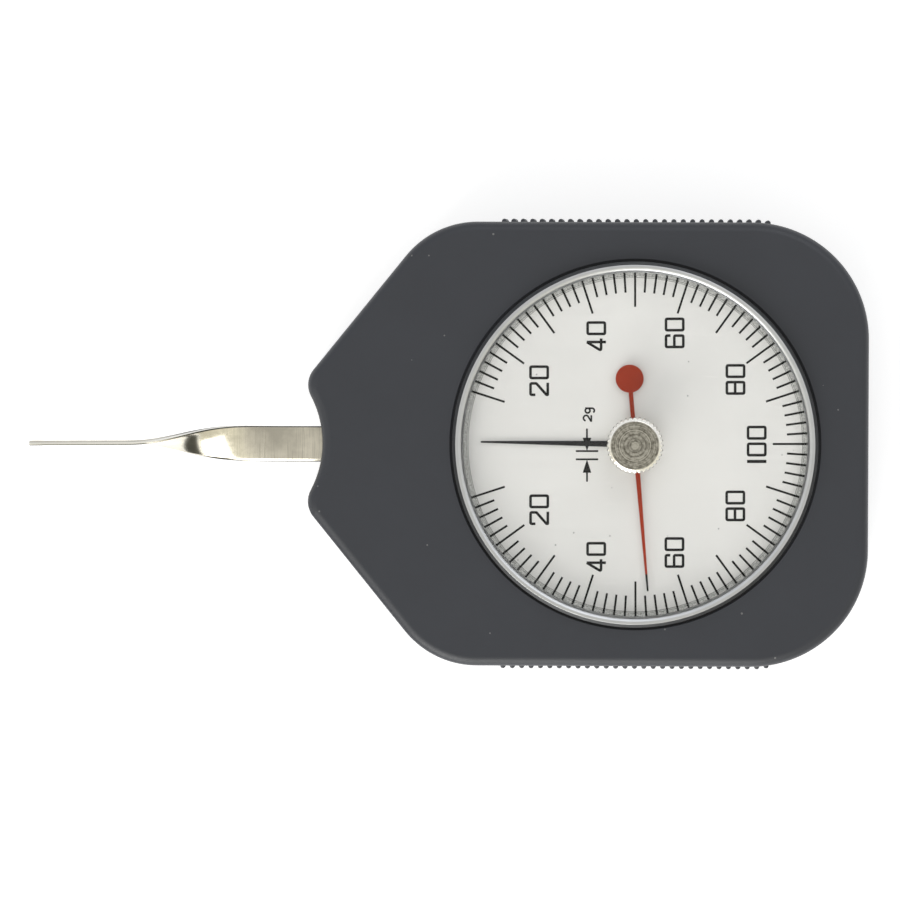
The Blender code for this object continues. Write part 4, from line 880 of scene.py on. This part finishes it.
def build_back_shell():
    seam = CASE_THICKNESS / 2 - PARTING_GAP / 2
    tongue_top = seam + TONGUE_HEIGHT
    step = CASE_WALL - TONGUE_THICKNESS
    shell = shell_blank("back_shell", REAR_FILLET, 0.0, 1, seam, step, tongue_top, REAR_FLOOR)
    bore = SCREW_HEAD_RADIUS + SCREW_PLAY
    post_top = REAR_FLOOR + POST_HEIGHT
    posts = movement_posts()
    added = rods(bore + REAR_BOSS_WALL, REAR_FLOOR / 2, tongue_top, screw_places())
    added += rods(POST_RADIUS, REAR_FLOOR / 2, post_top, [spot for spot, _ in posts])
    ribs = rib_mesh(REAR_FILLET + RIB_END_LAND, seam - RIB_END_LAND / 2)
    head_end = SCREW_SEAT + SEAT_GAP
    shank = SCREW_RADIUS + SCREW_PLAY
    hole = [
        (0, -OVERRUN),
        (bore + HEAD_BORE_LEAD, -OVERRUN),
        (bore + HEAD_BORE_LEAD, 0.0),
        (bore, HEAD_BORE_LEAD),
        (bore, head_end),
        (shank, head_end),
        (shank, tongue_top + OVERRUN),
        (0, tongue_top + OVERRUN),
    ]
    holes = [turned("hole", hole, spot) for spot in screw_places()]
    holes += [rod(POST_HOLE, tip - SEAT_GAP, post_top + OVERRUN, spot) for spot, tip in posts]
    place_shell("back_shell", "rear_cover", shell, added, ribs, [slot_mesh(), gathered(holes)])


def build_case_screws():
    """Slotted screws at the back, each slot turned its own way."""
    crown = SCREW_RECESS
    tip = SCREW_SEAT + SCREW_LENGTH
    head = SCREW_HEAD_RADIUS
    profile = [
        (0, tip),
        (SCREW_RADIUS / 2, tip),
        (SCREW_RADIUS, tip - SCREW_RADIUS / 2),
        (SCREW_RADIUS, SCREW_SEAT),
        (head, SCREW_SEAT),
        (head, crown + 0.35 * SCREW_HEAD_HEIGHT),
        (0.85 * head, crown + 0.08 * SCREW_HEAD_HEIGHT),
        (0.5 * head, crown),
        (0, crown),
    ]
    reach = head + OVERRUN
    half = 0.16 * head
    for i, (spot, turn) in enumerate(zip(screw_places(), SCREW_SLOT_TURNS)):
        body = turned("screw", profile, spot, 0.12 * MM)
        outline = rotated(rectangle(-reach, -half, reach, half), radians(turn))
        outline = [(spot[0] + x, spot[1] + y) for x, y in outline]
        slot = prism("slot", outline, crown - OVERRUN, crown + 0.5 * SCREW_HEAD_HEIGHT)
        mesh = combine("screw", body, [slot], "DIFFERENCE")
        node = f"case_screw_{i + 1}"
        place(f"back_screw_{i + 1}", mesh, "case", node, origin=spot)


# Bezel group


def build_bezel():
    low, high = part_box("bezel")
    top = high.z
    flange = BEZEL_SEAT + SEAT_GAP
    clip_low, clip_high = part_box("bezel_clip")
    groove = SKIRT_OUTER - CLIP_GROOVE_DEPTH
    groove_low = clip_low.z - CLIP_PLAY
    groove_high = clip_high.z + CLIP_PLAY
    rim_inner = LIP_RADIUS + LIP_SLOPE_WIDTH
    rim_outer = rim_inner + RIM_WIDTH
    outer = rim_outer + RIM_SHOULDER
    profile = [
        (SKIRT_INNER, low.z),
        (SKIRT_OUTER, low.z),
        (SKIRT_OUTER, groove_low),
        (groove, groove_low),
        (groove, groove_high),
        (SKIRT_OUTER, groove_high),
        (SKIRT_OUTER, flange),
        (outer, flange),
        (outer, top - 2.4 * RIM_SHOULDER),
        (rim_outer + 0.1 * MM, top - RIM_SHOULDER),
        (rim_outer, top),
        (rim_inner + 0.12 * MM, top),
        (rim_inner - 0.06 * MM, top - 0.05 * MM),
        (LIP_RADIUS + 0.56 * LIP_SLOPE_WIDTH, top - 0.25 * LIP_SLOPE_DROP),
        (LIP_RADIUS, top - LIP_SLOPE_DROP),
        (LIP_RADIUS, top - LIP_THICKNESS),
        (SKIRT_INNER, top - LIP_THICKNESS),
    ]
    place_turned("bezel_rim", profile, 0.06 * MM, "bezel_ring", "bezel")


def build_window():
    low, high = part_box("crystal")
    plateau = LIP_RADIUS - SEAT_GAP / 2
    shoulder = low.z + CRYSTAL_FLANGE
    profile = [
        (CRYSTAL_HOLE, low.z),
        (HELD_RADIUS, low.z),
        (HELD_RADIUS, shoulder),
        (plateau, shoulder),
        (plateau, high.z - CRYSTAL_CHAMFER_DROP),
        (plateau - CRYSTAL_CHAMFER, high.z),
        (CRYSTAL_HOLE, high.z),
    ]
    place_turned("window", profile, 0.05 * MM, "bezel_ring", "crystal")


def stepped(bore, low, lower, step, upper, high):
    """The profile of a sleeve with one radius below a step and another above it."""
    return [(bore, low), (lower, low), (lower, step), (upper, step), (upper, high), (bore, high)]


def build_round_pieces():
    """Turned pieces that show through the crystal, each within its node's height."""
    low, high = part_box("spacer_ring")
    profile = rectangle(LIP_RADIUS, low.z, HELD_RADIUS, high.z)
    place_turned("spacer", profile, 0.04 * MM, "bezel_ring", "spacer_ring")
    low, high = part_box("dial_plate")
    profile = rectangle(DIAL_HOLE, low.z, HELD_RADIUS, high.z)
    place_turned("dial_face", profile, 0.04 * MM, "bezel_ring", "dial_plate")
    low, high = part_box("crystal_bush")
    sleeve = CRYSTAL_HOLE - BUSH_PLAY
    profile = stepped(BUSH_BORE, low.z, high.x, low.z + BUSH_FLANGE, sleeve, high.z)
    place_turned("window_bush", profile, 0.05 * MM, "bezel_ring", "crystal_bush")
    for name, node, bore, sleeve, body in (
        ("needle_hub", "pointer_hub", 0.66 * MM, 1.3 * MM, "pointer_train"),
        ("needle_boss", "drag_boss", ARBOR_BORE, DIAL_HOLE, "drag_hand"),
    ):
        low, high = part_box(node)
        profile = stepped(bore, low.z, sleeve, high.z - HUB_LIP, high.x, high.z)
        place_turned(name, profile, 0.04 * MM, body, node)
    low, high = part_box("friction_washer")
    profile = rectangle(ARBOR_BORE, low.z, high.x, high.z)
    place_turned("spring_washer", profile, 0.05 * MM, "drag_hand", "friction_washer")
    low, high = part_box("drag_arbor")
    profile = rectangle(0, low.z, high.x, high.z)
    place_turned("needle_arbor", profile, 0.1 * MM, "drag_hand", "drag_arbor")


# Dial print, drawn flat on z = 0 and then laid on the dial


def add_stroke(bm, points, width, closed=False):
    """A flat line of ink of even width along points of the dial."""
    line = [Vector(p) for p in points]
    runs = [(after - point).normalized() for point, after in zip(line, line[1:] + line[:1])]
    if not closed:
        runs[-1] = runs[-2]
    rings = []
    for i, point in enumerate(line):
        out = runs[i]
        into = runs[i - 1] if closed or i > 0 else out
        along = (into + out).normalized()
        side = Vector((-along.y, along.x)) * width / 2 / max(0.5, along.dot(into))
        sides = (point + side, point - side)
        foot = [(*spot, 0.0) for spot in sides]
        rings.append(foot + [(*spot, PRINT_THICKNESS) for spot in reversed(sides)])
    add_loft(bm, rings, closed)


def digit_mesh(digit):
    """One digit at the origin, its foot towards +X, as one solid."""
    stroke = NARROW_STROKE if digit == "1" else DIGIT_STROKE
    span_x = DIGIT_WIDTH - DIGIT_STROKE
    span_y = DIGIT_HEIGHT - DIGIT_STROKE
    half = DIGIT_STROKE / 2
    parts = []
    for shares, closed in DIGIT_STROKES[digit]:
        line = [(half + x * span_x, half + y * span_y) for x, y in shares]
        line = [(-y, x) for x, y in soften(line, DIGIT_CORNER, closed)]
        bm = bmesh.new()
        add_stroke(bm, line, stroke, closed)
        parts.append(finish_mesh("stroke", bm))
    return combine(digit, parts[0], parts[1:], "UNION")


def draw_numerals(bm):
    solids = {digit: digit_mesh(digit) for digit in DIGIT_STROKES}
    for text, foot_x, middle_y in NUMERALS:
        widths = [NARROW_WIDTH if digit == "1" else DIGIT_WIDTH for digit in text]
        y = middle_y * MM - (sum(widths) + DIGIT_GAP * (len(text) - 1)) / 2
        for digit, width in zip(text, widths):
            copy = solids[digit].copy()
            spot = Vector((foot_x * MM, y - (DIGIT_WIDTH - width) / 2, 0.0))
            copy.transform(Matrix.Translation(spot))
            bm.from_mesh(copy)
            bpy.data.meshes.remove(copy)
            y += width + DIGIT_GAP


def draw_ticks(bm):
    for side in (1, -1):
        for i in range(FIRST_DIVISION, DIVISIONS_PER_SIDE + 1):
            if i == DIVISIONS_PER_SIDE and side < 0:
                continue
            angle = pi - side * pi / DIVISIONS_PER_SIDE * i
            inner = SHORT_TICK_INNER if i % LONG_EVERY else LONG_TICK_INNER
            ends = [on_circle(ORIGIN, reach, angle) for reach in (inner, TICK_OUTER)]
            add_stroke(bm, ends, TICK_WIDTH)


def draw_division_mark(bm):
    """The value of one division, 2 g, left of the axis between arrows; places are in mm."""
    x = -6.75
    near_bar, far_bar = -0.96, -2.11
    near_base, far_base = 0.9, -3.98
    for points in (
        [(-8.31, near_bar), (-5.18, near_bar)],
        [(-8.31, far_bar), (-5.18, far_bar)],
        [(x, 2.19), (x, 0.7)],
        [(x, -5.23), (x, far_base)],
    ):
        add_stroke(bm, in_mm(points), 0.25 * MM)
    for arrow in (
        [(x - 0.6, near_base), (x, near_bar), (x + 0.6, near_base)],
        [(x - 0.6, far_base), (x + 0.6, far_base), (x, far_bar)],
    ):
        flat = in_mm(arrow)
        add_loft(bm, [[(*spot, height) for spot in flat] for height in (0.0, PRINT_THICKNESS)])

    two = arc((0.4, 0.72), 0.38, radians(170), radians(-40), 10)
    two += [(0.0, 0.06), (0.0, 0.0), (0.8, 0.0)]
    bowl = arc((0.33, 0.62), 0.33, 0.0, tau, 20)[:-1]
    tail = [(0.66, 0.97), (0.66, 0.0)]
    tail += arc((0.34, 0.0), 0.32, 0.0, -radians(150), 8)[1:]
    for points, foot, left, closed in (
        (two, -6.14, 3.25, False),
        (bowl, -6.03, 4.37, True),
        (tail, -6.03, 4.37, False),
    ):
        line = in_mm([(foot - y, left + x) for x, y in points])
        add_stroke(bm, line, 0.24 * MM, closed)


def build_print():
    lift = Matrix.Translation((0.0, 0.0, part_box("dial_plate")[1].z + PRINT_LIFT))
    for name, draw in (
        ("dial_ticks", draw_ticks),
        ("dial_numerals", draw_numerals),
        ("division_mark", draw_division_mark),
    ):
        bm = bmesh.new()
        draw(bm)
        mesh = finish_mesh(name, bm)
        mesh.transform(lift @ Matrix.Rotation(DIAL_TURN, 4, "Z"))
        place(name, mesh, "bezel_ring")


# Pointers


def pointer_mesh(name, node, rest, arm, eye, neck_width, tail, holes):
    """A pointer cut from sheet, with an arm, an eye about the axis, a tail and holes."""
    low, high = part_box(node)
    length, tip_width, root_width = arm
    tip = tip_width / 2
    root = asin(root_width / 2 / eye)
    neck = asin(neck_width / 2 / eye)
    outline = arc((length - tip, 0.0), tip, -pi / 2, pi / 2, TIP_STEPS)
    outline += arc(ORIGIN, eye, root, pi - neck, EYE_STEPS) + tail
    outline += arc(ORIGIN, eye, pi + neck, tau - root, EYE_STEPS)
    blank = prism(name, rotated(outline, rest), low.z, high.z)
    cuts = [rod(radius, low.z - OVERRUN, high.z + OVERRUN, spot) for radius, spot in holes]
    return combine(name, blank, cuts, "DIFFERENCE")


def build_main_pointer():
    end = MAIN_TAIL_WIDTH / 2
    tail = arc((end - MAIN_TAIL, 0.0), end, pi / 2, 3 * pi / 2, TAIL_STEPS)
    pin = on_circle(ORIGIN, PIN_REACH, pi + MAIN_REST)
    holes = [(MAIN_HOLE, ORIGIN), (PIN_HOLE, pin)]
    shape = (MAIN_ARM, MAIN_EYE, MAIN_TAIL_WIDTH, tail, holes)
    mesh = pointer_mesh("main_needle", "main_pointer", MAIN_REST, *shape)
    place("main_needle", mesh, "pointer_train", "main_pointer")


def build_drag_pointer():
    disc = asin(DRAG_STEM_WIDTH / 2 / DRAG_DISC_RADIUS)
    centre = (-DRAG_DISC_DISTANCE, 0.0)
    tail = arc(centre, DRAG_DISC_RADIUS, disc, tau - disc, 4 * EYE_STEPS)
    shape = (DRAG_ARM, DRAG_EYE, DRAG_STEM_WIDTH, tail, [(DRAG_HOLE, ORIGIN)])
    mesh = pointer_mesh("drag_needle", "drag_pointer", DRAG_REST, *shape)
    place("drag_needle", mesh, "drag_hand", "drag_pointer")


# Knob


def knob_ring(radius, height, depth):
    count = KNOB_FLUTES * POINTS_PER_FLUTE
    ring = []
    for i in range(count):
        angle = tau * i / count
        reach = radius - depth * (0.5 - 0.5 * cos(KNOB_FLUTES * angle))
        ring.append((*on_circle(ORIGIN, reach, angle), height))
    return ring


def build_knob():
    low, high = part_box("drag_knob")
    bottom, top = low.z, high.z
    depth = KNOB_FLUTE_DEPTH
    rings = [
        knob_ring(KNOB_RADIUS - KNOB_CHAMFER, bottom, 0.0),
        knob_ring(KNOB_RADIUS, bottom + KNOB_CHAMFER, depth),
        knob_ring(KNOB_RADIUS, top - KNOB_CHAMFER, depth),
    ]
    chamfer = KNOB_RADIUS - KNOB_TOP_RADIUS
    for share, crown in ((0.06, 0.05), (0.35, 0.035), (0.65, 0.04), (0.92, 0.02), (1.0, 0.0)):
        height = top - KNOB_CHAMFER * (1 - share) + crown * MM
        radius = KNOB_RADIUS - chamfer * share
        rings.append(knob_ring(radius, min(height, top), depth * (1 - share) ** 3))
    for i in range(1, KNOB_MARKS):
        dip = KNOB_MARK_DEPTH if i % 2 else 0.0
        rings.append(knob_ring(KNOB_TOP_RADIUS * (1 - i / KNOB_MARKS), top - dip, 0.0))
    arbor_low, arbor_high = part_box("drag_arbor")
    socket = rod(ARBOR_BORE, bottom - OVERRUN, arbor_high.z + SEAT_GAP)
    mesh = combine("knob", loft("knob", rings), [socket], "DIFFERENCE")
    place("knob", mesh, "drag_hand", "drag_knob")


# Feeler


def feeler_section(thickness, drop=BLADE_BEVEL_DROP):
    """The blade's section as points across and through it, each with its share of painted shade and
    its edge share.

    Three corners are round, with painted shade along each arc, and plain points along the face
    after two of them.
    The fourth is a wide bevel, ground bright, that falls by a drop to an outer edge of painted
    shade."""
    w = BLADE_WIDTH / 2
    t = thickness / 2
    r = BLADE_EDGE_RADIUS
    bevel = BLADE_BEVEL_WIDTH - w
    points = []
    for u, v, start, darkest, last, stop in (
        (-1, -1, 180, 1.0, 0.0, w - r),
        (1, -1, 270, 1.0, 0.45, None),
        (1, 1, 0, 0.65, 0.0, bevel + r),
    ):
        centre = (u * (w - r), v * (t - r))
        corner = arc(centre, r, radians(start), radians(start + 90), EDGE_STEPS)
        for i, (x, y) in enumerate(corner):
            edge = 1 - i / EDGE_STEPS if stop else i / EDGE_STEPS
            # Painted shade, strongest in the middle of the arc.
            edge_shade = darkest * sin(pi * i / EDGE_STEPS)
            past_middle = i > EDGE_STEPS / 2
            points.append((x, y, max(edge_shade, last) if past_middle else edge_shade, edge))
        if stop:
            run = stop - x
            points += [(x + run * k / FACE_STEPS, v * t, 0.0, 0.0) for k in range(1, FACE_STEPS)]
    line = [(0.0, t), (bevel, t), (-w, t - drop), (-w, -t)]
    ground = soften(line, 0.1 * MM, False)[1:-1]
    ground.insert(4, ground[3].lerp(ground[4], BRIGHT_BEVEL_SHARE))
    # The bevel's points past its bright share carry painted shade.
    return points + [(x, y, float(i > 4), 0.0) for i, (x, y) in enumerate(ground)]


def feeler_ring(x, turn, thickness):
    across = Vector((0.0, cos(turn), sin(turn)))
    through = Vector((0.0, -sin(turn), cos(turn)))
    share = max(0.0, (BLADE_FLAT_END - x) / (BLADE_FLAT_END - BLADE_TIP))
    y = BLADE_SIDE_OFFSET + BLADE_BEND * sin(pi * share)
    middle = Vector((x, y, CASE_THICKNESS / 2))
    fade = 0.5 - 0.5 * cos(min(pi, 3 * turn))
    drop = BLADE_BEVEL_DROP + (TWIST_BEVEL_DROP - BLADE_BEVEL_DROP) * fade
    return [middle + across * u + through * v for u, v, _, _ in feeler_section(thickness, drop)]


def build_feeler():
    rings = [feeler_ring(BLADE_ROOT_X, 0.0, BLADE_THICKNESS)]
    for i in range(TWIST_STEPS + 1):
        part = i / TWIST_STEPS
        turn = pi / 4 * (1 - cos(pi * part))
        x = BLADE_FLAT_END - BLADE_TWIST_LENGTH * part
        rings.append(feeler_ring(x, turn, BLADE_THICKNESS))
    pad = BLADE_TIP + BLADE_TIP_LENGTH
    for x, thickness in (
        (pad, BLADE_THICKNESS),
        (pad - BLADE_TIP_THICKNESS, BLADE_TIP_THICKNESS),
        (BLADE_TIP + 0.1 * MM, BLADE_TIP_THICKNESS),
        (BLADE_TIP, BLADE_TIP_THICKNESS - 0.16 * MM),
    ):
        rings.append(feeler_ring(x, pi / 2, thickness))
    bm = bmesh.new()
    add_loft(bm, rings)
    bm.verts.index_update()
    section = feeler_section(BLADE_THICKNESS)
    layer = bm.loops.layers.uv.new("section")
    for face in bm.faces:
        for loop in face.loops:
            loop[layer].uv = section[loop.vert.index % len(section)][2:]
    holes = []
    for i in range(2):
        low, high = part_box(f"feeler_rivet_{i + 1}")
        spot = ((low.x + high.x) / 2, (low.y + high.y) / 2)
        holes.append(rod(RIVET_HOLE, low.z, high.z, spot))
    mesh = combine("blade", finish_mesh("blade", bm), holes, "DIFFERENCE")
    place("blade", mesh, "feeler_lever", "feeler_blade")


# Studio


def build_camera():
    data = bpy.data.cameras.new("camera")
    data.sensor_width = SENSOR_WIDTH
    data.lens = SENSOR_WIDTH * LENS_TO_SENSOR
    camera = add_object("camera", data)
    forward = (CAMERA_TARGET - CAMERA_PLACE).normalized()
    right = forward.cross(Vector((0.0, 1.0, 0.0))).normalized()
    axes = Matrix((right, right.cross(forward), -forward)).transposed().to_4x4()
    roll = Matrix.Rotation(CAMERA_ROLL, 4, "Z")
    camera.matrix_world = Matrix.Translation(CAMERA_PLACE) @ axes @ roll
    bpy.context.scene.camera = camera


def build_world():
    """White where it is seen, even light on the object, and a graded tent in its gloss."""
    world = bpy.data.worlds.new("studio")
    bpy.context.scene.world = world
    tent = Graph(world, "Generated")
    smooth = "SMOOTHSTEP"
    side = tent.ranged(tent.axis("Y"), 0.0, 1.0, *KEY_SIDE_EDGE, interpolation_type=smooth)
    above = tent.ranged(tent.axis("Z"), 0.0, 1.0, *OVERHEAD_EDGE, interpolation_type=smooth)
    around = tent.blend(side, FAR_SIDE_REFLECTION, KEY_SIDE_REFLECTION)
    reflected = tent.blend(above, around, OVERHEAD_REFLECTION)
    colour = tent.blend(tent.rays("Glossy"), WORLD_LIGHT, reflected)
    colour = tent.blend(tent.rays("Camera", "Transmission"), colour, WHITE)
    tent.feed(tent.tree.nodes["Background"], {"Color": colour})


def flat_piece(name, corners, height, skin, glow):
    """A flat piece of the studio that glows and has no highlight of its own."""
    bm = bmesh.new()
    bm.faces.new([bm.verts.new((x, y, height)) for x, y in corners])
    skin.set({"Emission Color": glow})
    mesh = finish_mesh(name, bm)
    mesh.materials.append(skin.material)
    return add_object(name, mesh)


def build_floor():
    half = FLOOR_SIZE / 2
    skin = Surface("floor", FLOOR_COLOUR, 0.9, specular=0.0)
    seen = skin.rays("Camera", "Glossy", "Transmission")
    skin.set({"Emission Strength": skin.math("MULTIPLY", seen, FLOOR_GLOW)})
    floor = flat_piece("floor", rectangle(-half, -half, half, half), -FLOOR_DROP, skin, WHITE)


def build_flag():
    """A dark strip beside the feeler that shows only in the reflection of its twist."""
    skin = Surface("flag", (0.0, 0.0, 0.0), 0.5, specular=0.0)
    skin.set({"Emission Strength": 1.0})
    card = flat_piece("flag", in_mm(FLAG_CORNERS), FLAG_HEIGHT * MM, skin, FLAG_COLOUR)
    card.visible_camera = False
    card.visible_diffuse = False
    card.visible_shadow = False
    card.visible_transmission = False


def build_lights():
    for name, spot, size, power, colour in (
        ("key", (-0.25, -0.6, 0.33), 0.6, 4.1, (1.0, 0.99, 0.97)),
        ("fill", (0.2, 0.5, 0.65), 0.5, 0.9, (0.97, 0.98, 1.0)),
    ):
        data = bpy.data.lights.new(name, "AREA")
        data.shape = "SQUARE"
        data.size = size
        data.energy = power
        data.color = colour
        lamp = add_object(name, data)
        lamp.location = spot
        lamp.rotation_euler = (-Vector(spot)).to_track_quat("-Z", "Y").to_euler()


def dress_hidden_nodes(frame):
    """Gives each node that stays as it is a material of its slot."""
    for name, node in frame["nodes"].items():
        for slot in node.material_slots if not node.hide_render else ():
            slot.material = FINISHES[SLOTS[name]]


def main():
    clear_scene()
    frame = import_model()
    SLOTS.update((part["node"], part["material_slot"]) for part in frame["record"]["subparts"])
    build_camera()
    make_finishes()
    build_front_shell()
    build_back_shell()
    build_case_screws()
    build_bezel()
    build_window()
    build_round_pieces()
    build_print()
    build_main_pointer()
    build_drag_pointer()
    build_knob()
    build_feeler()
    dress_hidden_nodes(frame)
    build_world()
    build_floor()
    build_flag()
    build_lights()
    bpy.context.scene.view_settings.view_transform = "Standard"


main()
